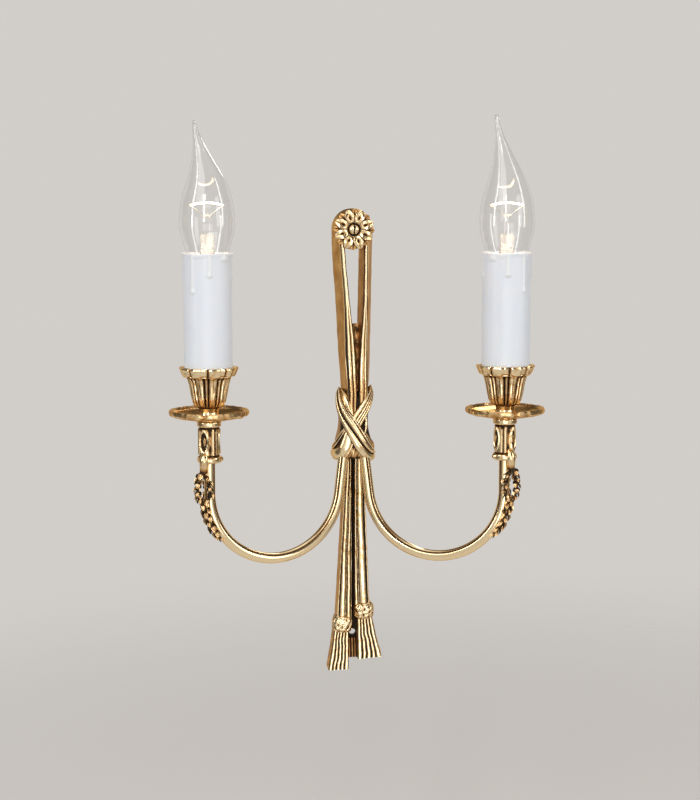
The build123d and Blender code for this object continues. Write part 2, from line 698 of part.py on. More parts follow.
def wire_path(side, front):
    """A wire's run: out of a pole, across to the arm's root, round the arm and up the candle."""
    shift = wire_offset(side, front)
    bow = arm_bow(side, shift)
    start = bow[0] @ 0
    top = arm_point(side, ARM_RUN, BODY_FOOT + WIRE_IN_HOLDER) + shift
    out = root_line(side, SPIGOT_L + WIRE_PAST_ARM).origin + shift
    entry_y = POLE_Y + (-WIRE_SPREAD if front else WIRE_SPREAD) / 2
    below = Vector(pole_entry(side, front), entry_y, BLOCK_FOOT - WIRE_BELOW_BLOCK)
    inside = Vector(below.X, below.Y, POLE_FOOT + WIRE_IN_POLE)
    radii = []
    bends = ((start, out, below, WIRE_PAST_ARM), (out, below, inside, WIRE_BELOW_BLOCK))
    for before, corner, after, room in bends:
        turn = radians((corner - before).get_angle(after - corner))
        short = min((corner - before).length, (after - corner).length)
        radii.append(min(BEND_SHARE * short, room) / tan(turn / 2))
    fan = FilletPolyline(inside, below, out, start, radius=radii[::-1])
    return Wire([*fan.edges(), *bow, Line(bow[1] @ 1, top).edge()])


def wire(side, front):
    """One insulated wire."""
    path = wire_path(side, front)
    section = Plane(origin=path @ 0, z_dir=path % 0) * Circle(WIRE_D / 2)
    return sweep(section, path=path)


def lampholder_body(side):
    """Moulded lampholder: threaded boss, pedestal with wire holes, open skirt."""
    outer = HOLDER_D / 2
    top = HOLDER_FOOT + HOLDER_H
    solid = turned(
        [
            (NIPPLE_D / 2 + SLIP, HOLDER_FOOT),
            (HOLDER_BOSS_D / 2, HOLDER_FOOT),
            (HOLDER_BOSS_D / 2, BODY_FOOT),
            (outer, BODY_FOOT),
            (outer, top),
            (outer - HOLDER_WALL, top),
            (outer - HOLDER_WALL, PEDESTAL_TOP),
            (0, PEDESTAL_TOP),
            (0, NIPPLE_TOP),
            (NIPPLE_D / 2 + SLIP, NIPPLE_TOP),
        ]
    )
    solid = at_candle(side) * solid
    for front in (True, False):
        foot = arm_point(side, ARM_RUN, NIPPLE_TOP) + wire_offset(side, front)
        depth = BODY_FOOT + WIRE_IN_HOLDER - NIPPLE_TOP
        solid -= Pos(*foot) * upright(WIRE_D / 2 + SLIP, depth)
    return solid


def lampholder_shell():
    """Screw shell that takes the lamp's cap, with a holed floor on the pedestal."""
    inner = SHELL_BORE / 2
    return turned(
        [
            (SHELL_FLOOR_HOLE / 2, PEDESTAL_TOP),
            (inner + SHELL_T, PEDESTAL_TOP),
            (inner + SHELL_T, PEDESTAL_TOP + SHELL_H),
            (inner, PEDESTAL_TOP + SHELL_H),
            (inner, PEDESTAL_TOP + SHELL_T),
            (SHELL_FLOOR_HOLE / 2, PEDESTAL_TOP + SHELL_T),
        ]
    )


def lampholder_contact():
    """Centre contact on the pedestal, under the lamp."""
    return Pos(0, 0, PEDESTAL_TOP) * upright(CENTRE_CONTACT_D / 2, CENTRE_CONTACT_H)


def lamp_contact():
    """Solder tip of the lamp's cap."""
    return Pos(0, 0, LAMP_FOOT) * upright(LAMP_CONTACT_D / 2, LAMP_CONTACT_H)


def lamp_insulator():
    """Glass insulator between the solder tip and the cap's shell."""
    foot = LAMP_FOOT + LAMP_CONTACT_H
    return Pos(0, 0, foot) * stub(LAMP_CONTACT_D, CAP_D, INSULATOR_H)


def lamp_cap():
    """E14 cap: floor, threaded wall and the wider collar round the glass."""
    outer = CAP_D / 2
    flare = CAP_FLARE_D / 2
    collar = NECK_D / 2 + SLIP
    return turned(
        [
            (0, CAP_FOOT),
            (outer, CAP_FOOT),
            (outer, NECK_FOOT - CAP_WALL),
            (flare, NECK_FOOT - CAP_WALL),
            (flare, NECK_FOOT + CAP_FLARE_H),
            (collar, NECK_FOOT + CAP_FLARE_H),
            (collar, NECK_FOOT),
            (outer - CAP_WALL, NECK_FOOT),
            (outer - CAP_WALL, CAP_FOOT + CAP_WALL),
            (0, CAP_FOOT + CAP_WALL),
        ]
    )


def bulb_body(inset):
    """The round part of the bulb: a straight neck and one smooth curve up to the shoulder."""
    neck = NECK_D / 2 - inset
    mouth = CANDLE_D / 2 - CANDLE_WALL - LAMP_TUBE_GAP - inset
    collar = NECK_FOOT + CAP_FLARE_H
    belly = (LAMP_D / 2 - inset, NECK_FOOT + BELLY_UP)
    shoulder = (SHOULDER_D / 2 - inset, NECK_FOOT + LAMP_BODY_H)
    flank = Spline((neck, collar), (mouth, CANDLE_SEAT + CANDLE_L), belly, shoulder)
    outline = [
        Line((0, NECK_FOOT), (neck, NECK_FOOT)).edge(),
        Line((neck, NECK_FOOT), (neck, collar)).edge(),
        flank.edge(),
        Line(shoulder, (0, shoulder[1])).edge(),
        Line((0, shoulder[1]), (0, NECK_FOOT)).edge(),
    ]
    return revolve(Plane.XZ * make_face(outline), Axis.Z)


def bulb_tip(tip_h, inset):
    """The drawn tip: circles that shrink as they bend over to the left."""
    shoulder = SHOULDER_D / 2 - inset
    tip = TIP_D / 2 - inset / 2
    foot = NECK_FOOT + LAMP_BODY_H
    circles = []
    for up, wide, bend in TIP_COURSE:
        radius = max(wide * shoulder, tip)
        circles.append(Pos(-bend * TIP_BEND, 0, foot + up * tip_h) * Circle(radius))
    circles.append(Pos(-TIP_BEND, 0, foot + tip_h - 2 * inset) * Circle(tip))
    return loft(circles, ruled=True)


def flame_form(tip_h, inset):
    """The whole bulb as a solid, or the space inside its wall."""
    return bulb_body(inset) + bulb_tip(tip_h, inset)


def lamp_glass(tip_h):
    """Thin clear envelope, open at the neck."""
    return flame_form(tip_h, 0) - flame_form(tip_h, GLASS_T)


def lamp_stem():
    """Glass mount: foot in the neck, tapering flare and flat pinch that holds the leads."""
    foot = NECK_D / 2 - GLASS_T - SLIP
    flare_top = NECK_FOOT + STEM_FOOT_T
    base = Pos(0, 0, NECK_FOOT) * upright(foot, STEM_FOOT_T)
    flare = loft(
        [
            Pos(0, 0, flare_top) * Circle(STEM_D / 2),
            Pos(0, 0, PINCH_TOP - PINCH_W) * Circle(PINCH_W / 2),
        ]
    )
    pinch = Pos(0, 0, PINCH_TOP - PINCH_W / 2) * Box(PINCH_W, PINCH_T, PINCH_W)
    return base + flare + pinch


def lamp_leads():
    """Two bent lead wires and the middle support of the filament."""
    root = PINCH_W / 2 - LEAD_D
    reach = FILAMENT_W / 2
    rise = FILAMENT_Z - PINCH_TOP
    leads = []
    for side in SIDES.values():
        foot = Vector(side * root, 0, PINCH_TOP)
        knee = Vector(side * root, 0, PINCH_TOP + rise / 4)
        elbow = Vector(side * reach, 0, FILAMENT_Z - rise / 4)
        end = Vector(side * reach, 0, FILAMENT_Z)
        path = FilletPolyline(foot, knee, elbow, end, radius=rise / 8)
        section = Plane(origin=foot, z_dir=(0, 0, 1)) * Circle(LEAD_D / 2)
        leads.append(sweep(section, path=Wire(path.edges())))
    support_h = rise + FILAMENT_ARCH - FILAMENT_D / 2 - SLIP
    leads.append(Pos(0, 0, PINCH_TOP) * upright(LEAD_D / 2, support_h))
    return leads


def lamp_filament():
    """Arched filament across the tops of the leads."""
    reach = FILAMENT_W / 2 + LEAD_D
    level = FILAMENT_Z + FILAMENT_D / 2
    arch = ThreePointArc((-reach, 0, level), (0, 0, level + FILAMENT_ARCH), (reach, 0, level)).edge()
    return sweep(Plane(origin=arch @ 0, z_dir=arch % 0) * Circle(FILAMENT_D / 2), path=Wire([arch]))


def pole_entries():
    """Every wire entry of the block, with the pole that it belongs to."""
    for side in SIDES.values():
        for front in (True, False):
            y = POLE_Y + (-WIRE_SPREAD if front else WIRE_SPREAD) / 2
            yield pole_entry(side, front), y


def terminal_poles():
    """Two brass bars, bored for the wires from below."""
    bars = []
    for side in SIDES.values():
        bar = Pos(side * POLE_X, POLE_Y, POLE_FOOT + POLE_H / 2) * Box(POLE_W, POLE_D, POLE_H)
        for x, y in pole_entries():
            bar -= Pos(x, y, POLE_FOOT) * upright(WIRE_D / 2 + SLIP, WIRE_IN_POLE)
        bars.append(bar)
    return bars


def clamp_places():
    """Axis points of the clamping screws on the block's rear face."""
    middle = POLE_FOOT + POLE_H / 2
    for side in SIDES.values():
        for up in (-0.5, 0.5):
            yield Plane.XZ * Pos(side * POLE_X, middle + up * CLAMP_SCREW_PITCH, -BLOCK_BACK)


def clamp_screw_l():
    """From the block's rear face to the rear of a pole."""
    return BLOCK_BACK - (POLE_Y + POLE_D / 2)


def terminal_screws():
    """Four slotted clamping screws."""
    slot = Box(CLAMP_SCREW_D, SLOT_W, 2 * SLOT_DEPTH)
    screw = upright(CLAMP_SCREW_D / 2, clamp_screw_l()) - slot
    return [place * screw for place in clamp_places()]


def terminal_block():
    """Moulded block on the chamber's front wall, pocketed for poles, wires and screws."""
    middle = BLOCK_FOOT + BLOCK_H / 2
    block = Pos(0, BLOCK_BACK - BLOCK_D / 2, middle) * Box(BLOCK_W, BLOCK_D, BLOCK_H)
    for side in SIDES.values():
        pocket = Box(POLE_W + 2 * SLIP, POLE_D + 2 * SLIP, POLE_H + 2 * SLIP)
        block -= Pos(side * POLE_X, POLE_Y, POLE_FOOT + POLE_H / 2) * pocket
    for x, y in pole_entries():
        block -= Pos(x, y, BLOCK_FOOT) * upright(WIRE_D / 2 + SLIP, BLOCK_H / 2)
    for place in clamp_places():
        block -= place * upright(CLAMP_SCREW_D / 2 + SLIP, clamp_screw_l())
    rear = Plane.XZ * Pos(0, middle, -BLOCK_BACK)
    block -= rear * upright(FIX_SCREW_HEAD_D / 2 + SLIP, FIX_SCREW_HEAD_H)
    block -= rear * upright(FIX_SCREW_D / 2 + SLIP, BLOCK_D)
    return block


def terminal_fixing_screw():
    """Screw through the block into the casting."""
    shank_l = BLOCK_D + FIX_SCREW_GRIP - LOOSE
    screw = upright(FIX_SCREW_D / 2, shank_l) + upright(FIX_SCREW_HEAD_D / 2, FIX_SCREW_HEAD_H)
    screw -= Box(FIX_SCREW_HEAD_D, SLOT_W, 2 * SLOT_DEPTH)
    return Plane.XZ * Pos(0, BLOCK_FOOT + BLOCK_H / 2, -BLOCK_BACK) * screw


def earth_tag():
    """Solder tag held against the chamber's ceiling."""
    plate = Pos(0, (EARTH_TAG_W - EARTH_TAG_L) / 2) * SlotOverall(EARTH_TAG_L, EARTH_TAG_W, rotation=90)
    plate -= Circle(EARTH_SCREW_D / 2 + SLIP)
    return Pos(0, -EARTH_DEPTH, CHAMBER_TOP - EARTH_TAG_T) * extrude(plate, EARTH_TAG_T)


def earth_screw():
    """Slotted screw up through the tag into the casting."""
    head = upright(EARTH_SCREW_HEAD_D / 2, EARTH_SCREW_HEAD_H, below=True)
    shank = upright(EARTH_SCREW_D / 2, EARTH_SCREW_GRIP + EARTH_TAG_T)
    slot = Pos(0, 0, -EARTH_SCREW_HEAD_H) * Box(EARTH_SCREW_HEAD_D, SLOT_W, 2 * SLOT_DEPTH)
    return Pos(0, -EARTH_DEPTH, CHAMBER_TOP - EARTH_TAG_T) * (head + shank - slot)


def candle_pieces(name, side):
    """Every piece of one arm and its candle, by node name."""
    place = at_candle(side)
    tip_h = LEFT_TIP_H if name == "left" else RIGHT_TIP_H
    upright_pieces = {
        "nipple": ring(NIPPLE_D, NIPPLE_BORE, NIPPLE_L, NIPPLE_FOOT),
        "drip_pan": drip_pan(),
        "candle_cup": candle_cup(),
        "cup_nut": cup_nut(),
        "candle_tube": candle_tube(),
        "lampholder_shell": lampholder_shell(),
        "lampholder_contact": lampholder_contact(),
        "lamp_contact": lamp_contact(),
        "lamp_insulator": lamp_insulator(),
        "lamp_cap": lamp_cap(),
        "lamp_glass": lamp_glass(tip_h),
        "lamp_stem": lamp_stem(),
        "lamp_filament": lamp_filament(),
    }
    pieces = {f"{piece}_{name}": place * solid for piece, solid in upright_pieces.items()}
    pieces[f"lamp_leads_{name}"] = Compound(children=[place * lead for lead in lamp_leads()])
    pieces[f"arm_{name}"] = arm(side)
    pieces[f"arm_locknut_{name}"] = arm_locknut(side)
    pieces[f"leaf_sleeve_{name}"] = leaf_sleeve(side)
    pieces[f"lampholder_body_{name}"] = lampholder_body(side)
    pieces[f"wire_live_{name}"] = wire(side, front=True)
    pieces[f"wire_neutral_{name}"] = wire(side, front=False)
    return pieces


def all_pieces():
    """Every node of the light, by name."""
    pieces = {
        "ribbon_casting": ribbon_casting(),
        "rosette": rosette(),
        "rosette_screw": rosette_screw(),
        "terminal_block": terminal_block(),
        "terminal_poles": Compound(children=terminal_poles()),
        "terminal_screws": Compound(children=terminal_screws()),
        "terminal_fixing_screw": terminal_fixing_screw(),
        "earth_tag": earth_tag(),
        "earth_screw": earth_screw(),
    }
    for name, side in SIDES.items():
        pieces.update(candle_pieces(name, side))
    return pieces


os.makedirs("parts", exist_ok=True)
for node, shape in all_pieces().items():
    export_step(shape, f"parts/{node}.step")
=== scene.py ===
"""Looks of a candle wall light: a cast ribbon, two bowed arms, candle tubes and bent-tip lamps.

Every mesh is worked out in millimetres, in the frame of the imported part: the wall is the plane y = 0, the
light faces -Y, +X is to the right and +Z up. A depth is a distance from the wall, so y = -depth.
"""

import json
import logging
import math
from collections.abc import Sequence
from dataclasses import dataclass, field
from enum import Enum

import bmesh
import bpy
import numpy as np
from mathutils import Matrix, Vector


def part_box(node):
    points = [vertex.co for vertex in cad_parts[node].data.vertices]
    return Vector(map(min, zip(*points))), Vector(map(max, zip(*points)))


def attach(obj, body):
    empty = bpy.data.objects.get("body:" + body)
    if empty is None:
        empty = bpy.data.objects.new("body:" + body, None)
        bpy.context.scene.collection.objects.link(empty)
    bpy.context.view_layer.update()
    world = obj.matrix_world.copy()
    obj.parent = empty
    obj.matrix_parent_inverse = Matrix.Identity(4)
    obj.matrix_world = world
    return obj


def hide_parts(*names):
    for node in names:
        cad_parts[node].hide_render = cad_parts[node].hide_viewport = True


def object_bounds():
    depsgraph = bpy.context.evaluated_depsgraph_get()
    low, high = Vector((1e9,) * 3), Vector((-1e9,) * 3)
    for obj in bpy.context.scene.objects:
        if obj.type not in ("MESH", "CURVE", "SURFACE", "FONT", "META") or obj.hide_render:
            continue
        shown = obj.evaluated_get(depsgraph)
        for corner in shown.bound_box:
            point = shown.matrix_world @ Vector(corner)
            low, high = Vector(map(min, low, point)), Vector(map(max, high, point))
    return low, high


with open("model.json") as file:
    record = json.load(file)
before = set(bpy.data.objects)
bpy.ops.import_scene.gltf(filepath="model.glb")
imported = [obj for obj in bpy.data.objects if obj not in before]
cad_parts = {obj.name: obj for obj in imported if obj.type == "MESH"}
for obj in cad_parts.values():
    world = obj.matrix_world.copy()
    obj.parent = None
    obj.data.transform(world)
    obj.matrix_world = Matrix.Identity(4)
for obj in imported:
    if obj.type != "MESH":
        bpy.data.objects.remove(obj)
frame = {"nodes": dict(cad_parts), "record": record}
CAD_LOW, CAD_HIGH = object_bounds()

LOG = logging.getLogger("wall_light")
Array = np.ndarray
Colour = tuple[float, float, float]
MM = 0.001
FIXTURE = "fixture"
# Mesh attribute for patina; in places it also carries painted shade, highlight and reflection
PATINA_AND_SHADE = "patina"


class Side(Enum):
    """The two sides of the light, by the sign of X."""

    LEFT = -1
    RIGHT = 1

    @property
    def label(self) -> str:
        """The word that ends a node's name."""
        return self.name.lower()


# Numbers and curves


def span(node: str) -> tuple[Array, Array]:
    """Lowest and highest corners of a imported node, in millimetres."""
    low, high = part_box(node)
    return np.array(low) / MM, np.array(high) / MM


def unit(vectors: Array) -> Array:
    """Vectors brought to length one."""
    return vectors / np.linalg.norm(vectors, axis=-1, keepdims=True)


def smooth_step(low: float, high: float, at: Array) -> Array:
    """Share from 0 at low to 1 at high, level at both ends: 3t^2 - 2t^3."""
    t = np.clip((np.asarray(at, float) - low) / (high - low), 0, 1)
    return t * t * (3 - 2 * t)


def bump(at: Array, middle: float, width: float) -> Array:
    """A bell of height one: exp(-((at - middle) / width)^2)."""
    return np.exp(-(((at - middle) / width) ** 2))


def smooth_curve(stations: Sequence[float], values: Sequence, at: Array) -> Array:
    """A cubic curve through stations: Hermite pieces with the slope that the neighbours give.

    Args:
        stations: Rising parameters.
        values: A number or a point at each station.
        at: Parameters to read the curve at.

    Returns:
        The curve's value at each parameter.
    """
    knots = np.asarray(stations, float)
    held = np.asarray(values, float)
    slopes = np.gradient(held, knots, axis=0)
    i = np.clip(np.searchsorted(knots, at, side="right") - 1, 0, len(knots) - 2)
    width = knots[i + 1] - knots[i]
    t = (at - knots[i]) / width
    if held.ndim > 1:
        t, width = t[:, None], width[:, None]
    rise = held[i] * (2 * t**3 - 3 * t**2 + 1) + held[i + 1] * (3 * t**2 - 2 * t**3)
    return rise + width * (slopes[i] * (t**3 - 2 * t**2 + t) + slopes[i + 1] * (t**3 - t**2))


def finer(outline: Array, step: float, closed: bool = True) -> Array:
    """An outline with points added along its edges, evenly, until none is longer than a step.

    Args:
        outline: Points in order.
        step: The longest edge that is left.
        closed: Whether the last point joins the first.

    Returns:
        The points, with those that were added.
    """
    loop = np.vstack([outline, outline[:1]]) if closed else np.asarray(outline)
    parts = []
    for start, end in zip(loop[:-1], loop[1:]):
        count = max(1, math.ceil(np.linalg.norm(end - start) / step))
        parts.append(start + (end - start) * np.arange(count)[:, None] / count)
    return np.vstack(parts if closed else [*parts, loop[-1:]])


def ripple(points: Array, scale: float, seed: int) -> Array:
    """Smooth roughness from -1 to 1: five sine waves across space in seeded directions.

    Args:
        points: [..., 3] points in millimetres.
        scale: Length of the longest wave.
        seed: Which waves.

    Returns:
        One number for each point.
    """
    draw = np.random.default_rng(seed)
    total = np.zeros(points.shape[:-1])
    for octave in range(5):
        way = unit(draw.normal(size=3)) * 2 * math.pi / scale * 1.45**octave
        total += np.sin(points @ way + draw.uniform(0, 2 * math.pi)) * 0.75**octave
    return total / 2.6


def beads(across: Array, rows: Sequence[tuple[float, float, float]]) -> tuple[Array, Array]:
    """Relief of round beads side by side: half ellipses with dark valleys between them.

    Args:
        across: Places across the front, from 0 to 1.
        rows: Middle, half width and height of each bead; as [n, 1] arrays they change along the front.

    Returns:
        The rise at each place, and its patina, which is 1 in the valleys.
    """
    rise = crest = 0 * across
    for middle, half, height in rows:
        hill = np.sqrt(np.clip(1 - ((across - middle) / half) ** 2, 0, 1))
        rise, crest = np.maximum(rise, hill * height), np.maximum(crest, hill)
    return rise, np.clip(1.5 - 2.6 * crest, 0, 1)


def carried(path: Array, side: Array, out: Array, section: Array) -> Array:
    """A section of across and rise, carried along a path: path + across * side + rise * out."""
    return path[:, None] + section[..., :1] * side[:, None] + section[..., 1:] * out[:, None]


def angles(steps: int) -> Array:
    """Even angles round a circle, in radians."""
    return np.linspace(0, 2 * math.pi, steps, endpoint=False)


def circle(steps: int) -> Array:
    """[steps, 2] points round a circle of radius one."""
    return np.stack([np.cos(angles(steps)), np.sin(angles(steps))], -1)


def turned(profile: Array, steps: int) -> Array:
    """A profile turned about the upright axis: (r cos a, r sin a, h) at even angles a.

    Args:
        profile: (radius, height) points.
        steps: How many angles.

    Returns:
        [k, steps, 3] points.
    """
    angle = angles(steps)
    radius, height = np.asarray(profile, float).T[:, :, None]
    return np.stack([radius * np.cos(angle), radius * np.sin(angle), height + 0 * angle], -1)


def on_wall(points: Array, x: float, z: float) -> Array:
    """Points about an upright axis laid over, so that their height is a depth from the wall."""
    return np.stack([x + points[..., 0], -points[..., 2], z + points[..., 1]], -1)


class Skin:
    """Closed surfaces in the making, in millimetres, with a value at each point for patina and, in places, painted
    shade and highlight.
    """

    def __init__(self) -> None:
        """An empty skin."""
        self.points: list[Array] = []
        self.patina: list[Array] = []
        self.faces: list[list[int]] = []
        self.count = 0

    def add(self, points: Array, patina: Array | float) -> Array:
        """Keeps points and their patina.

        Args:
            points: [..., 3] points.
            patina: A number, or one for each point.

        Returns:
            The points' numbers, in the same layout.
        """
        flat = points.reshape(-1, 3)
        self.points.append(flat)
        self.patina.append(np.broadcast_to(patina, points.shape[:-1]).reshape(-1).astype(float))
        numbers = np.arange(self.count, self.count + len(flat)).reshape(points.shape[:-1])
        self.count += len(flat)
        return numbers

    def grid(
        self, points: Array, patina: Array | float = 0.0, wrap_u: bool = False, wrap_v: bool = False
    ) -> Array:
        """Joins a grid of points by four-sided faces.

        Args:
            points: [u, v, 3] points.
            patina: A number, or [u, v] numbers.
            wrap_u: Whether the last row joins the first.
            wrap_v: Whether the last column joins the first.

        Returns:
            [u, v] numbers of the points.
        """
        numbers = self.add(points, patina)
        sheet = np.vstack([numbers, numbers[:1]]) if wrap_u else numbers
        sheet = np.hstack([sheet, sheet[:, :1]]) if wrap_v else sheet
        corners = [sheet[:-1, :-1], sheet[1:, :-1], sheet[1:, 1:], sheet[:-1, 1:]]
        self.faces += np.stack(corners, -1).reshape(-1, 4).tolist()
        return numbers

    def close(self, rim: Array, middle: Array, patina: float = 0.0) -> None:
        """Closes a ring of points with a fan of triangles to one middle point.

        Args:
            rim: Numbers of the ring's points.
            middle: The middle point.
            patina: Its patina.
        """
        pole = self.add(np.asarray(middle, float)[None], patina)[0]
        after = np.roll(rim, -1)
        self.faces += np.stack([rim, after, np.full_like(rim, pole)], -1).tolist()

    def tube(self, points: Array, patina: Array | float = 0.0) -> None:
        """Joins closed sections, and closes both ends at their middle.

        Args:
            points: [n, k, 3] points of the sections.
            patina: A number, or [n, k] numbers.
        """
        numbers = self.grid(points, patina, wrap_v=True)
        shade = np.broadcast_to(patina, points.shape[:-1])
        self.close(numbers[0], points[0].mean(0), float(shade[0].mean()))
        self.close(numbers[-1], points[-1].mean(0), float(shade[-1].mean()))

    def block(self, low: Sequence[float], high: Sequence[float], patina: float = 0.0) -> None:
        """A plain block between two corners.

        Args:
            low: Its lowest corner.
            high: Its highest corner.
            patina: Patina all over it.
        """
        (x0, y0, z0), (x1, y1, z1) = low, high
        ring = [(x0, y0), (x1, y0), (x1, y1), (x0, y1)]
        self.tube(np.array([[(x, y, z) for x, y in ring] for z in (z0, z1)], float), patina)

    def piece(
        self, name: str, finish: "Finish", body: str, replaces: Sequence[str], crease: float = 38.0
    ) -> None:
        """Makes the object, dresses it and sets it on its body.

        Args:
            name: The piece's name.
            finish: Its finish.
            body: The body that it rides on.
            replaces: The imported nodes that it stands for.
            crease: Edges sharper than this angle stay sharp, in degrees.
        """
        mesh = bpy.data.meshes.new(name)
        mesh.from_pydata((np.concatenate(self.points) * MM).tolist(), [], self.faces)
        shade = mesh.attributes.new(PATINA_AND_SHADE, "FLOAT", "POINT")
        shade.data.foreach_set("value", np.concatenate(self.patina).astype(np.float32))
        loose = bmesh.new()
        loose.from_mesh(mesh)
        bmesh.ops.recalc_face_normals(loose, faces=loose.faces)
        loose.to_mesh(mesh)
        loose.free()
        mesh.polygons.foreach_set("use_smooth", np.ones(len(mesh.polygons), bool))
        mesh.set_sharp_from_angle(angle=math.radians(crease))
        mesh.materials.append(finish.material())
        thing = bpy.data.objects.new(name, mesh)
        bpy.context.scene.collection.objects.link(thing)
        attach(thing, body)
        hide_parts(*replaces)
        LOG.info("%s: %d faces on %s", name, len(mesh.polygons), body)


# Shader expressions


class Value:
    """A node's output socket, with operators that add Math nodes to its tree."""

    def __init__(self, tree: "Tree", socket: bpy.types.NodeSocket) -> None:
        """Wraps a socket of a tree."""
        self.tree = tree
        self.socket = socket

    def math(self, operation: str, first: "Value | float", second: "Value | float") -> "Value":
        """One Math node on two values."""
        return self.tree.node("ShaderNodeMath", {"operation": operation}, {0: first, 1: second})

    def __add__(self, other: "Value | float") -> "Value":
        """self + other."""
        return self.math("ADD", self, other)

    def __sub__(self, other: "Value | float") -> "Value":
        """self - other."""
        return self.math("SUBTRACT", self, other)

    def __rsub__(self, other: float) -> "Value":
        """other - self."""
        return self.math("SUBTRACT", other, self)

    def __mul__(self, other: "Value | float") -> "Value":
        """self * other."""
        return self.math("MULTIPLY", self, other)

    __radd__ = __add__
    __rmul__ = __mul__

    def ramp(self, low: float, high: float, start: float = 0.0, end: float = 1.0) -> "Value":
        """Smooth share that goes from start at low to end at high."""
        limits = {"Value": self, "From Min": low, "From Max": high, "To Min": start, "To Max": end}
        return self.tree.node("ShaderNodeMapRange", {"interpolation_type": "SMOOTHSTEP"}, limits)


class Tree:
    """A material's or the world's node tree, written as expressions."""

    def __init__(self, tree: bpy.types.NodeTree) -> None:
        """An emptied node tree."""
        self.tree = tree
        tree.nodes.clear()

    def node(
        self, kind: str, settings: dict | None = None, sockets: dict | None = None, output: int | str = 0
    ) -> Value:
        """Adds a node.

        Args:
            kind: The node's type.
            settings: Its properties, set first.
            sockets: Values or links of its inputs, by name or number.
            output: Which output to return.

        Returns:
            That output.
        """
        made = self.tree.nodes.new(kind)
        for key, setting in (settings or {}).items():
            setattr(made, key, setting)
        for key, given in (sockets or {}).items():
            if isinstance(given, Value):
                self.tree.links.new(given.socket, made.inputs[key])
            else:
                made.inputs[key].default_value = given
        return Value(self, made.outputs[output] if len(made.outputs) else made)

    def mix(self, share: Value | float, first: "Value | Colour", second: "Value | Colour") -> Value:
        """A colour between two colours.

        Args:
            share: 0 for the first, 1 for the second.
            first: The first colour.
            second: The second colour.

        Returns:
            The mixed colour.
        """
        first = first if isinstance(first, Value) else (*first, 1.0)
        second = second if isinstance(second, Value) else (*second, 1.0)
        return self.node("ShaderNodeMix", {"data_type": "RGBA"}, {0: share, 6: first, 7: second}, 2)

    def noise(self, size: float, detail: float = 3.0, stretch: Colour = (1.0, 1.0, 1.0)) -> Value:
        """Noise on object coordinates.

        Args:
            size: About how large its grains are, in millimetres.
            detail: How many finer layers it has.
            stretch: How much longer its grains are along each axis.

        Returns:
            The noise, about 0.5.
        """
        place = self.node("ShaderNodeTexCoord", output="Object")
        scaled = self.node("ShaderNodeMapping", None, {"Vector": place, "Scale": [1 / s for s in stretch]})
        sockets = {"Vector": scaled, "Scale": 1 / (size * MM), "Detail": detail}
        return self.node("ShaderNodeTexNoise", None, sockets)

    def own(self, attribute: str) -> Value:
        """A number that the mesh carries."""
        return self.node("ShaderNodeAttribute", {"attribute_name": attribute}, None, "Fac")

    def bumped(self, height: Value, depth: float, strength: float = 1.0) -> Value:
        """A normal bent by a height of that depth in millimetres."""
        sockets = {"Height": height, "Distance": depth * MM, "Strength": strength}
        return self.node("ShaderNodeBump", None, sockets)

    def principled(self, sockets: dict) -> Value:
        """A Principled BSDF with the sockets given."""
        return self.node("ShaderNodeBsdfPrincipled", None, sockets)

    def surface(self, shader: Value) -> None:
        """Ends the tree at its surface."""
        self.node("ShaderNodeOutputMaterial", None, {"Surface": shader})


def new_material(name: str) -> tuple[bpy.types.Material, Tree]:
    """A material with an empty node tree.

    Args:
        name: The material's name.

    Returns:
        The material and its tree.
    """
    material = bpy.data.materials.new(name)
    material.use_nodes = True
    return material, Tree(material.node_tree)


@dataclass(frozen=True)
class Finish:
    """What every finish has: a name, the record's slot and one shared material."""

    name: str
    slot: str

    def material(self) -> bpy.types.Material:
        """The finish's material, made once."""
        return bpy.data.materials.get(self.name) or self.make()

    def make(self) -> bpy.types.Material:
        """Builds the material."""
        raise NotImplementedError


@dataclass(frozen=True)
class AntiqueBrass(Finish):
    """Brass that was cast, dipped dark and polished back, so that its recesses stay black."""

    gold: Colour = (0.80, 0.56, 0.28)
    # Paler than polished brass: rubbed crests with a painted highlight
    crest: Colour = (0.93, 0.75, 0.47)
    tarnish: Colour = (0.48, 0.25, 0.09)
    grazing: Colour = (0.92, 0.66, 0.38)
    dip: Colour = (0.012, 0.010, 0.008)
    roughness: float = 0.18
    stain: float = 0.45
    grain: float = 0.012

    def make(self) -> bpy.types.Material:
        """Colour, metal and gloss follow the mesh's patina and painted shade, broken up by stains, pits and a cast
        grain.

        Returns:
            The material.
        """
        material, tree = new_material(self.name)
        stains = tree.noise(9.0, 4.0)
        pits = tree.noise(0.7, 2.0)
        # worn reads the mesh's patina together with its painted shade and highlight
        worn = tree.own(PATINA_AND_SHADE)
        recess = (worn + (stains - 0.5) * 0.35 + (pits - 0.5) * 0.55).ramp(0.31, 0.62)
        dull = (worn + (stains - 0.5) * self.stain).ramp(0.02, 0.36)
        # Crests get the paler crest colour: rubbed metal with a painted highlight
        rubbed_and_highlight = (worn + (stains - 0.5) * 0.1).ramp(-0.04, 0.16, 1.0, 0.0)
        warm = tree.mix(dull, tree.mix(rubbed_and_highlight, self.gold, self.crest), self.tarnish)
        sockets = {
            "Base Color": tree.mix(recess, warm, self.dip),
            "Metallic": 1.0 - recess * 0.65 - dull * 0.15,
            "Roughness": recess * 0.25 + dull * 0.22 + pits * 0.12 + (self.roughness - 0.06),
            "Normal": tree.bumped(pits + stains * 0.6, self.grain),
            "Specular Tint": (*self.grazing, 1.0),
        }
        tree.surface(tree.principled(sockets))
        return material


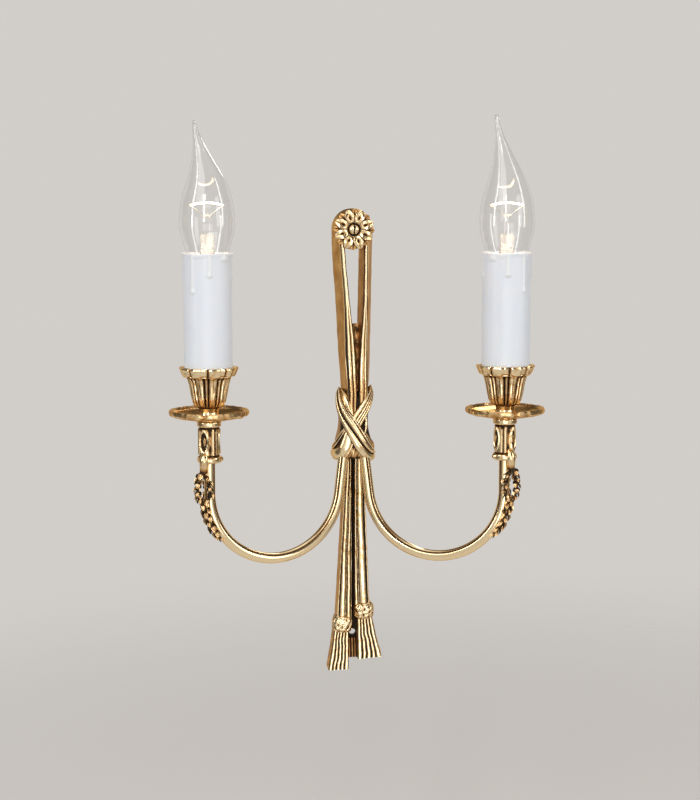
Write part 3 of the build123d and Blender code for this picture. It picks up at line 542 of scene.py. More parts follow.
@dataclass(frozen=True)
class PlainMetal(Finish):
    """Machined or plated metal with turning marks and a little tarnish."""

    colour: Colour = (0.66, 0.67, 0.68)
    tarnish: Colour = (0.40, 0.38, 0.36)
    roughness: float = 0.3

    def make(self) -> bpy.types.Material:
        """Fine level marks in the gloss and bump, and cloudy tarnish in the colour.

        Returns:
            The material.
        """
        material, tree = new_material(self.name)
        marks = tree.noise(0.5, 2.0, (40.0, 40.0, 1.0))
        clouds = tree.noise(4.0)
        sockets = {
            "Base Color": tree.mix(clouds.ramp(0.4, 0.8) * 0.5, self.colour, self.tarnish),
            "Metallic": 1.0,
            "Roughness": marks * 0.16 + (self.roughness - 0.08),
            "Normal": tree.bumped(marks, 0.01),
        }
        tree.surface(tree.principled(sockets))
        return material


@dataclass(frozen=True)
class Moulding(Finish):
    """Moulded plastic, nylon or fused insulation with a fine grain."""

    colour: Colour = (0.1, 0.09, 0.09)
    roughness: float = 0.45
    grain: float = 0.02

    def make(self) -> bpy.types.Material:
        """A slightly cloudy colour under a fine grain.

        Returns:
            The material.
        """
        material, tree = new_material(self.name)
        clouds = tree.noise(5.0)
        grain = tree.noise(0.35, 2.0)
        lighter = tuple(min(1.0, c * 1.25 + 0.01) for c in self.colour)
        sockets = {
            "Base Color": tree.mix(clouds.ramp(0.3, 0.7), self.colour, lighter),
            "Roughness": grain * 0.15 + (self.roughness - 0.07),
            "Normal": tree.bumped(grain, self.grain),
        }
        tree.surface(tree.principled(sockets))
        return material


@dataclass(frozen=True)
class CandleWhite(Finish):
    """Cool white candle tube with a waxy skin."""

    body: Colour = (0.69, 0.72, 0.77)
    wax: Colour = (0.75, 0.76, 0.77)

    def make(self) -> bpy.types.Material:
        """Cool white that turns creamy where the mesh's patina marks poured wax.

        Returns:
            The material.
        """
        material, tree = new_material(self.name)
        clouds = tree.noise(12.0)
        skin = tree.noise(1.6, 2.0)
        white = tree.mix(clouds.ramp(0.3, 0.8) * 0.3, self.body, self.wax)
        sockets = {
            "Base Color": tree.mix(tree.own(PATINA_AND_SHADE) * 0.8, white, self.wax),
            "Roughness": skin * 0.14 + 0.30,
            "Normal": tree.bumped(skin + clouds * 2.0, 0.03),
            "Subsurface Weight": 0.25,
            "Subsurface Radius": (1.0, 0.7, 0.5),
            "Subsurface Scale": 0.0015,
            "Coat Weight": 0.12,
        }
        tree.surface(tree.principled(sockets))
        return material


@dataclass(frozen=True)
class ClearGlass(Finish):
    """Clear blown glass that lets the lamp's own light out."""

    colour: Colour = (0.99, 0.99, 0.99)
    roughness: float = 0.0
    clear: float = 1.0

    def make(self) -> bpy.types.Material:
        """Glass with faint smears, and no shadow for the light that passes straight through it.

        Returns:
            The material.
        """
        material, tree = new_material(self.name)
        smears = tree.noise(14.0, 3.0, (1.0, 1.0, 3.0))
        sockets = {
            "Base Color": (*self.colour, 1.0),
            "Roughness": smears.ramp(0.45, 0.8) * 0.05 + self.roughness,
            "IOR": 1.46,
            "Transmission Weight": self.clear,
        }
        glass = tree.principled(sockets)
        clear = tree.node("ShaderNodeBsdfTransparent")
        straight = tree.node("ShaderNodeLightPath", output="Is Shadow Ray")
        tree.surface(tree.node("ShaderNodeMixShader", None, {0: straight, 1: glass, 2: clear}))
        return material


@dataclass(frozen=True)
class GlowingWire(Finish):
    """White-hot coiled wire, cooler at its ends."""

    hot: Colour = (1.0, 0.80, 0.50)
    cool: Colour = (1.0, 0.42, 0.10)
    bare: Colour = (0.35, 0.33, 0.3)
    worn: Colour = (0.5, 0.47, 0.42)
    strength: float = 24.0

    def make(self) -> bpy.types.Material:
        """Emission between two heats by the mesh's patina, with a dull wire under it.

        Returns:
            The material.
        """
        material, tree = new_material(self.name)
        grain = tree.noise(0.4)
        sockets = {
            "Base Color": tree.mix(grain, self.bare, self.worn),
            "Metallic": 1.0,
            "Roughness": grain * 0.2 + 0.3,
            "Emission Color": tree.mix(tree.own(PATINA_AND_SHADE), self.hot, self.cool),
            "Emission Strength": self.strength,
        }
        tree.surface(tree.principled(sockets))
        return material


CAST_BRASS = AntiqueBrass("antique_cast_brass", "cast_brass")
ARM_BRASS = AntiqueBrass(
    "polished_arm_brass", "polished_brass", gold=(0.90, 0.70, 0.41), roughness=0.12, stain=0.3, grain=0.006
)
PAN_BRASS = AntiqueBrass(
    "spun_pan_brass", "polished_brass", gold=(0.76, 0.51, 0.24), roughness=0.16, stain=0.6, grain=0.02
)
WAX = CandleWhite("candle_white_wax", "candle_white")
BULB_GLASS = ClearGlass("clear_bulb_glass", "clear_glass")
MOUNT_GLASS = ClearGlass(
    "pressed_mount_glass", "mount_glass", colour=(0.90, 0.84, 0.75), roughness=0.10, clear=0.80
)
HOT_WIRE = GlowingWire("glowing_filament", "filament")
LEAD_WIRE = PlainMetal("drawn_lead_wire", "lead_wire", colour=(0.55, 0.52, 0.48), roughness=0.35)

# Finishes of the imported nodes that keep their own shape, by the record's slot
NODE_FINISHES: tuple[Finish, ...] = (
    PlainMetal("turned_brass", "turned_brass", colour=(0.70, 0.50, 0.24), tarnish=(0.42, 0.27, 0.12)),
    PlainMetal("zinc_plated_steel", "steel"),
    PlainMetal("lamp_cap_metal", "lamp_cap_metal", colour=(0.78, 0.77, 0.74), roughness=0.25),
    PlainMetal("dull_solder", "solder", colour=(0.55, 0.55, 0.57), roughness=0.45),
    Moulding("black_insulator", "black_glass", colour=(0.02, 0.02, 0.025), roughness=0.2),
    Moulding("holder_phenolic", "holder_plastic", colour=(0.05, 0.045, 0.04)),
    Moulding("block_nylon", "block_plastic", colour=(0.80, 0.78, 0.72), roughness=0.4),
    Moulding("brown_insulation", "brown_insulation", colour=(0.17, 0.07, 0.03), roughness=0.35),
    Moulding("blue_insulation", "blue_insulation", colour=(0.03, 0.12, 0.42), roughness=0.35),
)


# The casting on the wall

CASTING = ("ribbon_casting",)
RIBBON_SIDE_ROWS = 10
# Painted shade on the left and right sides of every standing ribbon
RIBBON_SIDE_PAINTED_SHADE = (0.26, 0.32)
RIBBON_WAVER = 0.16
SOFT_CREASE = 50.0


def ribbon_stack(
    levels: Array, wall: Array, edge: Array, depth: Array, rise: Array, patina: Array, back: Array | float = 0.0
) -> tuple[Array, Array]:
    """Level sections of a ribbon that stands on the wall.

    A section runs up one leaning side from the wall to the front edge, across the front with its relief, and
    down the other side; straight sides are shares of the way from the wall to the edge.

    Args:
        levels: [n] heights.
        wall: [n, 2] left and right ends of the section on the wall.
        edge: [n, 2] left and right ends of its front.
        depth: [n] depths of the front.
        rise: [n, m] relief of the front.
        patina: [n, m] patina of the front.
        back: Depth at which the section starts, off the wall; [n] or one number.

    Returns:
        [n, k, 3] points and their [n, k] patina: the front's own, and painted shade on the sides.
    """
    up = np.linspace(0, 1, RIBBON_SIDE_ROWS, endpoint=False)
    down = 1 - up - 1 / RIBBON_SIDE_ROWS
    across = np.linspace(0, 1, rise.shape[1])
    left = wall[:, :1] + (edge[:, :1] - wall[:, :1]) * up
    front = edge[:, :1] + (edge[:, 1:] - edge[:, :1]) * across
    right = wall[:, 1:] + (edge[:, 1:] - wall[:, 1:]) * down
    x = np.hstack([left, front, right])
    start = np.broadcast_to(back, depth.shape)[:, None]
    reach = depth[:, None] - start
    deep = np.hstack([reach * up, reach + rise, reach * down]) + start
    points = np.stack([x, -deep, np.broadcast_to(levels[:, None], x.shape)], -1)
    points[..., 0] += ripple(points, 26.0, 3) * RIBBON_WAVER
    left_shade, right_shade = RIBBON_SIDE_PAINTED_SHADE
    return points, np.hstack([left_shade + 0 * left, patina, right_shade + 0 * right])


@dataclass
class RibbonLoop:
    """The loop of ribbon: a round head and two straps that close to a V above the knot."""

    head_z: float
    head_d: float = 27.2
    head_draft: float = 4.6
    depth: float = 18.0
    peg_d: float = 4.5
    peg_depth: float = 9.0
    strap_w: float = 8.8
    opening_foot: float = 73.5
    swell: float = 7.2
    swell_top: float = 58.0
    web_depth: float = 3.0
    web_rise: float = 13.0
    web_x: tuple[float, float] = (-3.4, 5.6)
    foot_z: float = 28.0
    bead_h: float = 1.4
    lap_foot: float = 6.0
    lap_t: float = 0.9
    split_foot: float = 62.0
    split_top: float = 96.0
    foot_shade_top: float = 46.0
    levels: tuple[float, ...] = (6.0, 14.0, 22.0, 28.0, 36.0, 52.0, 89.0, 122.0, 136.0)

    def strap(
        self, side: Side, wall: Sequence[float], outer: Sequence[float], inner: Sequence[float], rows: Sequence
    ) -> None:
        """One strap, from its places at a few levels.

        Its front comes forward where it meets the knot, and below that only a thin lap of it runs on down.

        Args:
            side: Which strap.
            wall: Its outer side on the wall, out from the middle, at each level.
            outer: The outer end of its front edge.
            inner: The inner end of its front edge.
            rows: Middle, half width and height of each bead at its foot.
        """
        lap_z = np.linspace(self.lap_foot, self.foot_z - 0.02, 30)
        z = np.concatenate([lap_z, np.linspace(self.foot_z, self.head_z, 130)])
        lap = z < self.foot_z
        front = np.stack([smooth_curve(self.levels, outer, z), smooth_curve(self.levels, inner, z)], -1)
        out = np.where(lap, front[:, 0] + 0.1, smooth_curve(self.levels, wall, z))
        back = np.stack([out, np.where(lap, front[:, 1], np.minimum(out - self.strap_w, front[:, 1]))], -1)
        across = np.linspace(0, 1, 41)
        one, one_dark = beads(across, [(0.02, 0.05, 0.3), (0.55, 0.42, self.bead_h)])
        two, two_dark = beads(across, rows)
        split = 1 - smooth_step(self.split_foot, self.split_top, z)[:, None]
        rise = one * (1 - split) + two * split
        # Painted shade: the straps are painted darker towards their feet, where they go into the knot
        dim = 0.16 * (1 - smooth_step(self.foot_z, self.foot_shade_top, z))[:, None]
        dark = one_dark * (1 - split) + two_dark * split + dim
        depth = self.depth - self.bead_h + self.swell * (1 - smooth_step(self.foot_z, self.swell_top, z))
        start = np.where(lap, depth - self.lap_t, 0.1)
        points, shade = ribbon_stack(z, back, front, depth, rise, dark, start)
        points[..., 0] *= side.value
        skin = Skin()
        skin.tube(points, shade)
        skin.piece(f"loop_strap_{side.label}", CAST_BRASS, FIXTURE, CASTING)

    def head(self) -> None:
        """The round head behind the rosette, turned about the upper fixing, with its peg hole."""
        wall_r = self.head_d / 2
        front_r = wall_r - self.head_draft
        peg = self.peg_d / 2
        bore = [(peg, self.peg_depth), (peg, 0)]
        outside = [(wall_r, 0), (front_r, self.depth - 0.6), (front_r - 0.8, self.depth)]
        profile = finer(np.array([*bore, *outside]), 0.8, closed=False)
        points = on_wall(turned(profile, 72), 0, self.head_z)
        points += ripple(points, 18.0, 5)[..., None] * np.array([0.12, 0, 0.12])
        skin = Skin()
        skin.tube(points, 0.15)
        skin.piece("loop_head", CAST_BRASS, FIXTURE, CASTING)

    def web(self) -> None:
        """Rough metal left in the V between the straps: a plate whose front sinks towards its top."""
        z = np.linspace(self.foot_z, self.opening_foot, 60)[:, None]
        x = np.linspace(*self.web_x, 26)[None, :]
        share = (z - self.foot_z) / (self.opening_foot - self.foot_z)
        spot = np.stack(np.broadcast_arrays(x, 0 * x * z, z), -1)
        rough = 0.6 * ripple(spot, 7.0, 11) + 0.6 * ripple(spot, 2.3, 13)
        deep = self.web_depth + self.web_rise * (1 - share) ** 1.3 + 0.35 * rough + 0 * x
        front = np.stack(np.broadcast_arrays(x, -deep, z), -1)
        back = front * np.array([1.0, 0.0, 1.0]) - np.array([0.0, 0.3, 0.0])
        skin = Skin()
        shade = np.hstack([0.42 - 0.3 * rough, 0.3 + 0 * rough])
        skin.tube(np.concatenate([front, back[:, ::-1]], 1), shade)
        skin.piece("loop_web", CAST_BRASS, FIXTURE, CASTING)

    def build(self) -> None:
        """Head, straps and web."""
        self.head()
        self.strap(
            Side.LEFT,
            wall=(7.4, 7.4, 7.4, 7.4, 7.7, 8.9, 10.9, 13.2, 13.6),
            outer=(0.6, 3.6, 4.2, 4.3, 4.6, 5.4, 6.3, 8.8, 9.7),
            inner=(-0.8, -1.4, -1.6, -1.6, -1.5, -1.2, 2.6, 5.7, 6.4),
            rows=[(0.02, 0.03, 0.2), (0.40, 0.20, 1.4), (0.81, 0.17, 1.4)],
        )
        self.strap(
            Side.RIGHT,
            wall=(10.6, 10.6, 10.6, 10.6, 11.4, 11.9, 12.7, 13.3, 13.6),
            outer=(2.4, 7.0, 8.4, 8.8, 8.8, 8.9, 9.4, 9.6, 9.8),
            inner=(1.2, 2.6, 3.3, 3.4, 3.5, 4.2, 6.7, 7.2, 7.3),
            rows=[(0.04, 0.04, 0.2), (0.26, 0.16, 1.4), (0.71, 0.26, 1.1)],
        )
        self.web()


@dataclass
class Knot:
    """The knot: two reeded bands crossed over a core that holds the wiring chamber."""

    foot: float = -14.5
    top: float = 30.0
    depth: float = 23.6
    levels: tuple[float, ...] = (-14.5, -8.0, 6.0, 20.0, 30.0)
    left: tuple[float, ...] = (12.4, 12.0, 9.2, 9.6, 9.4)
    right: tuple[float, ...] = (13.2, 13.0, 9.8, 9.8, 9.8)
    chamber_w: float = 16.0
    chamber_depth: float = 22.0
    chamber_top: float = 27.0
    chamber_floor: float = -2.0
    strand_t: float = 1.4

    def core(self) -> None:
        """Shell of the knot: a creased front, round at its corners, hollowed from behind for the wiring.

        Each level is one outline: round the outside as a superellipse, fuller where the chamber is, then
        round the hollow, which is as deep as the chamber between its floor and ceiling and next to nothing
        elsewhere.
        """
        step = 0.02
        hollow_z = (self.chamber_floor, self.chamber_top)
        low = np.linspace(self.foot, hollow_z[0] - step, 22)
        high = np.linspace(hollow_z[1] + step, self.top, 10)
        z = np.concatenate([low, np.linspace(*hollow_z, 40), high])
        left = smooth_curve(self.levels, self.left, z)
        right = smooth_curve(self.levels, self.right, z)
        at = np.linspace(-1, 1, 71)
        turn = np.sign(at) * at**2 * math.pi / 2
        bluff = 0.58 - 0.28 * smooth_step(-7.0, -2.0, z)[:, None]
        round_x = np.sign(at) * np.abs(np.sin(turn)) ** bluff
        round_d = np.clip(np.cos(turn), 0, 1) ** bluff
        x = round_x * np.where(round_x < 0, left[:, None], right[:, None])
        sunk_top = 5.5 * smooth_step(25.2, self.top, z)
        sunk_foot = 2.0 * (1 - smooth_step(self.foot, self.foot + 3.5, z))
        front = (self.depth - sunk_top + bump(z, -8.0, 5.0) - sunk_foot)[:, None]
        face = smooth_step(0.25, 0.7, np.cos(turn))
        crease = face * (0.3 * np.sin(x * 1.4 + z[:, None] * 0.35) + 0.2 * np.sin(x * 3.1 - z[:, None] * 0.9))
        crease = crease + 0.8 * bump(z, 18.0, 2.6)[:, None] * bump(x, 0.0, 2.8)
        outer = np.stack(np.broadcast_arrays(x, -(front + crease) * round_d, z[:, None]), -1)
        sunk = np.where((z < hollow_z[0]) | (z > hollow_z[1]), 0.015, 1.0)[:, None]
        deep = np.minimum(self.chamber_depth, front - 1.0) * sunk
        half_w = self.chamber_w / 2
        inner = np.stack(np.broadcast_arrays(-round_x * half_w, -deep * round_d, z[:, None]), -1)
        # Painted highlight: the core's lower front is painted lighter, all but its bottom edge
        painted_highlight = 0.6 * (1 - smooth_step(-9.0, -4.0, z))[:, None] * smooth_step(-14.2, -12.4, z)[:, None]
        shown = 0.32 + 0.48 * face - crease * 0.5 - painted_highlight * face
        dark = np.hstack([shown, np.full(inner.shape[:2], 0.35)])
        skin = Skin()
        numbers = skin.grid(np.concatenate([outer, inner], 1), dark, wrap_v=True)
        skin.faces += [numbers[0].tolist(), numbers[-1][::-1].tolist()]
        skin.piece("knot_core", CAST_BRASS, FIXTURE, CASTING, crease=SOFT_CREASE)

    def band(
        self,
        name: str,
        course: Sequence,
        width: Sequence[float],
        rows: Sequence,
        ending: Sequence | None = None,
        fade: tuple[float, float] = (0.3, 0.6),
        worn: float = 0.0,
    ) -> None:
        """A reeded band along a course round the knot.

        The band's outward direction points away from an upright line inside the knot, square to the course,
        and its section is a row of beads over a flat underside.

        Args:
            name: The piece's name.
            course: Points (x, depth, z) that it passes.
            width: Its width at each point.
            rows: Middle, half width and height of each bead across it.
            ending: The same beads at its end, if they change.
            fade: Shares of its length between which they change.
            worn: Patina added to all of it.
        """
        stations = np.linspace(0, 1, len(course))
        t = np.linspace(0, 1, 90)
        x, deep, z = smooth_curve(stations, course, t).T
        path = np.stack([x, -deep, z], -1)
        along = unit(np.gradient(path, axis=0))
        away = np.stack([0.6 * x, -(deep - 5.0), 0 * z], -1)
        out = unit(away - along * (away * along).sum(-1, keepdims=True))
        side = np.cross(along, out)
        across = np.linspace(0, 1, 45)
        share = smooth_step(*fade, t)[:, None, None]
        placed = np.array(rows) * (1 - share) + np.array(ending or rows) * share
        rise, dark = beads(across, np.moveaxis(placed, 0, -1)[..., None])
        spread = smooth_curve(stations, width, t)[:, None]
        crown = 0.7 * (1 - (2 * across - 1) ** 2)
        top = np.stack(np.broadcast_arrays((across - 0.5) * spread, rise + crown), -1)
        back = across[::-4]
        under = np.stack(np.broadcast_arrays((back - 0.5) * spread * 0.96, 0 * spread - self.strand_t), -1)
        section = np.concatenate([top, under], 1)
        shade = np.hstack([dark, np.full((len(t), len(back)), 0.7)])
        points = carried(path, side, out, section)
        skin = Skin()
        skin.tube(points, shade + worn + 0.12 * ripple(points, 6.0, 17))
        skin.piece(name, CAST_BRASS, FIXTURE, CASTING)

    def build(self) -> None:
        """Core, the two crossed bands and the strands at their sides."""
        self.core()
        face = (0.55, 0.44, 1.3)
        self.band(
            "knot_band_back",
            [(10.5, 16.5, 32.9), (10.8, 19.6, 29.5), (8.8, 23.2, 24.0), (5.4, 24.6, 17.6), (1.7, 24.8, 11.7),
             (-2.2, 24.5, 3.8), (-5.0, 24.3, -4.2), (-7.6, 23.2, -9.2), (-10.6, 19.4, -11.4), (-12.5, 12.5, -12.4),
             (-12.7, 4.0, -12.8)],
            (1.6, 4.2, 6.8, 8.0, 8.4, 8.6, 8.8, 8.8, 8.4, 7.4, 6.4),
            [(0.11, 0.10, 0.9), (0.31, 0.085, 1.1), (0.51, 0.095, 1.2), (0.81, 0.18, 1.8)],
            ending=[(0.08, 0.07, 0.7), face, face, face],
            fade=(0.38, 0.62),
        )
        self.band(
            "knot_band_front",
            [(-9.3, 16.5, 31.7), (-10.0, 19.6, 28.2), (-9.5, 22.6, 22.6), (-7.1, 25.0, 16.0), (-3.0, 26.2, 9.3),
             (1.3, 26.5, 2.0), (5.7, 25.1, -5.4), (9.9, 21.0, -10.8), (12.7, 13.6, -12.6), (13.0, 5.0, -13.2)],
            (1.8, 4.2, 5.8, 7.6, 9.4, 10.4, 10.6, 9.6, 8.2, 6.8),
            [(0.06, 0.05, 0.5), (0.33, 0.22, 1.5), (0.83, 0.155, 0.9)],
            ending=[(0.08, 0.07, 0.9), (0.29, 0.115, 1.4), (0.73, 0.26, 1.2)],
            fade=(0.35, 0.8),
        )
        self.band(
            "knot_ear_left",
            [(-7.6, 16.5, 30.8), (-6.4, 20.8, 27.2), (-4.9, 23.2, 23.0), (-3.0, 24.2, 18.8), (-1.0, 24.4, 15.0)],
            (1.6, 4.4, 5.2, 4.4, 2.2),
            [(0.5, 0.5, 0.8)],
            worn=0.1,
        )
        self.band(
            "knot_strand_left",
            [(-5.2, 23.4, 6.8), (-8.0, 22.6, 2.4), (-11.2, 17.4, -4.0), (-12.5, 9.0, -8.4), (-12.2, 2.4, -10.6)],
            (2.0, 3.2, 3.8, 3.6, 3.0),
            [(0.30, 0.24, 1.0), (0.80, 0.18, 0.9)],
        )
        self.band(
            "knot_strand_right",
            [(6.8, 21.8, 15.6), (7.5, 22.6, 10.6), (7.2, 23.2, 6.0), (5.8, 23.4, 1.2)],
            (2.0, 2.8, 2.8, 2.0),
            [(0.5, 0.42, 1.3)],
        )
        self.band(
            "knot_lobe_right",
            [(5.6, 23.4, 4.6), (8.6, 22.4, -1.6), (11.5, 17.0, -7.0), (12.8, 9.0, -10.4), (12.6, 2.8, -11.6)],
            (2.4, 4.8, 6.6, 6.2, 5.4),
            [(0.24, 0.20, 0.8), (0.72, 0.26, 0.9)],
            worn=0.16,
        )


@dataclass
class Tail:
    """One ribbon tail with its tassel's knob and ribbed skirt."""

    side: Side
    rows: tuple[tuple[float, float, float], ...]
    knob_z: float
    skirt_l: float
    skirt_foot_w: float
    slant: float
    taper: float
    top: float = -9.0
    neck_z: float = -22.0
    width: float = 24.0
    gap: float = 2.0
    depth: float = 13.0
    draft: float = 1.0
    bead_h: float = 1.6
    bead_flat: float = 0.55
    knob_x: float = 7.2
    knob_half_w: float = 7.0
    knob_half_h: float = 6.6
    knob_depth: float = 15.5
    skirt_in: float = 2.75
    skirt_top_w: float = 10.2
    skirt_depth: float = 14.0
    skirt_sink: float = 2.55
    skirt_flare: float = 1.5
    reed_h: float = 1.25
    reed_flat: float = 0.45
    # Each ridge's half width, as a share of its step across the skirt
    reeds: tuple[float, ...] = (0.4136, 0.3384, 0.3948, 0.3572, 0.423)

    def strip(self) -> None:
        """The tail: a standing ribbon, drawn in towards the knot, with wavering rows of flat-topped beads."""
        z = np.linspace(self.knob_z, self.top, 120)
        drawn = np.clip((z - self.knob_z) / (self.neck_z - self.knob_z), 0, 1)
        outer = self.width / 2 - self.taper * drawn
        inner = self.gap / 2 + 0 * z
        across = np.linspace(0, 1, 73)
        waver = 0.05 * np.sin(5.5 * drawn + self.side.value) + 0.02 * np.sin(17 * drawn)
        rise, dark = beads(np.clip(across + waver[:, None] * np.sin(math.pi * across), 0, 1), self.rows)
        rise = self.bead_h * (rise / self.bead_h) ** self.bead_flat
        wall = np.stack([outer, inner], -1)
        edge = np.stack([outer - self.draft, inner], -1)
        front = np.full(len(z), self.depth - self.bead_h)
        points, shade = ribbon_stack(z, wall, edge, front, rise, dark)
        points[..., 0] *= self.side.value
        fine, broad = 0.22 * ripple(points, 4.0, 23), 0.08 * ripple(points, 15.0, 29)
        on_front = points[..., 1] < 3.0 - self.depth
        skin = Skin()
        skin.tube(points, shade + np.where(on_front, fine, broad))
        skin.piece(f"tail_{self.side.label}", CAST_BRASS, FIXTURE, CASTING)

    def knob(self) -> None:
        """The pebbled knob: a rounded square that domes over to a flat front."""
        bend = np.linspace(0, 1, 40)
        reach = np.concatenate([[0.84, 0.92], np.cos(bend * math.pi / 2) ** 0.55])[:-1]
        share = np.concatenate([[0.02, 0.35], 0.6 + 0.4 * np.sin(bend * math.pi / 2) ** 1.2])[:-1]
        deep = share * self.knob_depth
        angle = angles(72)
        square = (np.abs(np.cos(angle)) ** 3 + np.abs(np.sin(angle)) ** 3) ** (-1 / 3)
        x = reach[:, None] * np.cos(angle) * square * self.knob_half_w
        z = reach[:, None] * np.sin(angle) * square * self.knob_half_h
        middle = self.side.value * self.knob_x
        points = np.stack([middle + x, -deep[:, None] + 0 * x, self.knob_z + z], -1)
        pebble = ripple(points, 3.2, 31 + self.side.value)
        weight = smooth_step(2.0, 9.0, deep)[:, None]
        points[..., 1] -= np.minimum(0.6 * pebble, 0.35) * weight
        pits = np.clip(-1.5 * pebble - 0.25, 0, 1) * weight + (1 - weight) * 0.5
        skin = Skin()
        numbers = skin.grid(points, pits, wrap_v=True)
        skin.close(numbers[0], (middle, -deep[0], self.knob_z), 0.3)
        skin.close(numbers[-1], (middle, -self.knob_depth, self.knob_z), 0.0)
        skin.piece(f"tassel_knob_{self.side.label}", CAST_BRASS, FIXTURE, CASTING)

    def skirt(self) -> None:
        """The skirt: flat-topped ridges that spread towards a slanted foot."""
        t = np.linspace(0, 1, 70)
        z = self.knob_z - t * self.skirt_l
        spread = self.skirt_top_w + (self.skirt_foot_w - self.skirt_top_w) * t**1.3
        outer = self.skirt_in + spread
        inner = self.skirt_in + 0 * t
        wall = np.stack([outer, inner], -1)
        edge = np.stack([outer - 0.6, inner + 0.3], -1)
        across = np.linspace(0, 1, 81)
        step = 1 / len(self.reeds)
        rows = [(step * (i + 0.5), step * half, 1.0) for i, half in enumerate(self.reeds)]
        waver = 0.030 * np.sin(9 * t + 1.3 * self.side.value)[:, None] + 0.012 * np.sin(23 * t)[:, None]
        rise, dark = beads(np.clip(across + waver * np.sin(math.pi * across), 0, 1), rows)
        rise = self.reed_h * rise**self.reed_flat
        front = self.skirt_depth - self.skirt_sink + self.skirt_flare * t**2
        points, shade = ribbon_stack(z, wall, edge, front, rise, dark * 1.1, 0.15)
        away = points[..., 0] - self.skirt_in
        lift = np.maximum(np.where(self.slant > 0, away, spread[:, None] - away), 0.0)
        points[..., 2] += abs(self.slant) * lift * t[:, None] ** 3
        points[..., 0] *= self.side.value
        skin = Skin()
        skin.tube(points, shade + 0.15 * ripple(points, 5.0, 37))
        skin.piece(f"tassel_skirt_{self.side.label}", CAST_BRASS, FIXTURE, CASTING, crease=SOFT_CREASE)

    def build(self) -> None:
        """Tail, knob and skirt."""
        self.strip()
        self.knob()
        self.skirt()


# Middle, half width and height of the beads along each tail, from its outer edge
TAIL_LEFT_ROWS = ((0.03, 0.05, 0.6), (0.34, 0.19, 1.6), (0.58, 0.03, 0.5), (0.78, 0.12, 1.5), (0.97, 0.03, 0.7))
TAIL_RIGHT_ROWS = ((0.03, 0.05, 0.6), (0.44, 0.25, 1.6), (0.75, 0.03, 0.5), (0.90, 0.08, 1.1))


@dataclass
class TailWeb:
    """The thin web that joins the tails on the wall, with the lower fixing hole."""

    hole_z: float
    hole_d: float = 4.5
    top: float = -14.0
    foot: float = -152.0
    half_w: float = 7.8
    neck_half_w: float = 4.2
    depth: float = 4.0
    plate_top: float = -124.0
    back: float = 0.2
    fold_top: float = -139.5
    fold_half: float = 3.4
    fold_depth: float = 8.0
    # Middle, half width and height of each fold
    folds: tuple[tuple[float, float, float], ...] = (
        (0.14, 0.11, 1.6), (0.42, 0.10, 1.3), (0.66, 0.08, 1.5), (0.90, 0.09, 1.2),
    )

    def build(self) -> None:
        """A narrow plate, a bored plate below it and folds at its foot.

        The bored plate is a ring of sections, from the hole out to a square.
        """
        skin = Skin()
        low = (-self.neck_half_w, -self.depth, self.plate_top)
        skin.block(low, (self.neck_half_w, -self.back, self.top), 0.8)
        away = circle(64)
        bore = away * self.hole_d / 2
        middle = (self.plate_top + self.foot) / 2 - self.hole_z
        half_h = (self.plate_top - self.foot) / 2
        square = away / np.maximum(np.abs(away[:, :1]), np.abs(away[:, 1:]))
        rim = square * np.array([self.half_w, half_h]) + np.array([0, middle])
        loop = [(bore, self.back), (rim, self.back), (rim, self.depth), (bore, self.depth)]
        rings = [np.stack([p[:, 0], 0 * p[:, 0] - deep, self.hole_z + p[:, 1]], -1) for p, deep in loop]
        skin.grid(np.stack(rings), np.array([[0.35], [0.3], [0.8], [1.0]]), wrap_u=True, wrap_v=True)
        z = np.linspace(self.foot - 0.3, self.fold_top, 24)
        rise, dark = beads(np.linspace(0, 1, 41), self.folds)
        flat = np.ones((len(z), 1))
        edge = flat * np.array([[-self.fold_half, self.fold_half + 0.6]])
        sink = self.fold_depth - 3.2 * smooth_step(self.foot + 4, self.fold_top, z)
        shade = 0.25 + 0.75 * flat * dark
        skin.tube(*ribbon_stack(z, edge, edge, sink, flat * rise, shade, self.depth - 0.5))
        skin.piece("tail_web", CAST_BRASS, FIXTURE, CASTING)


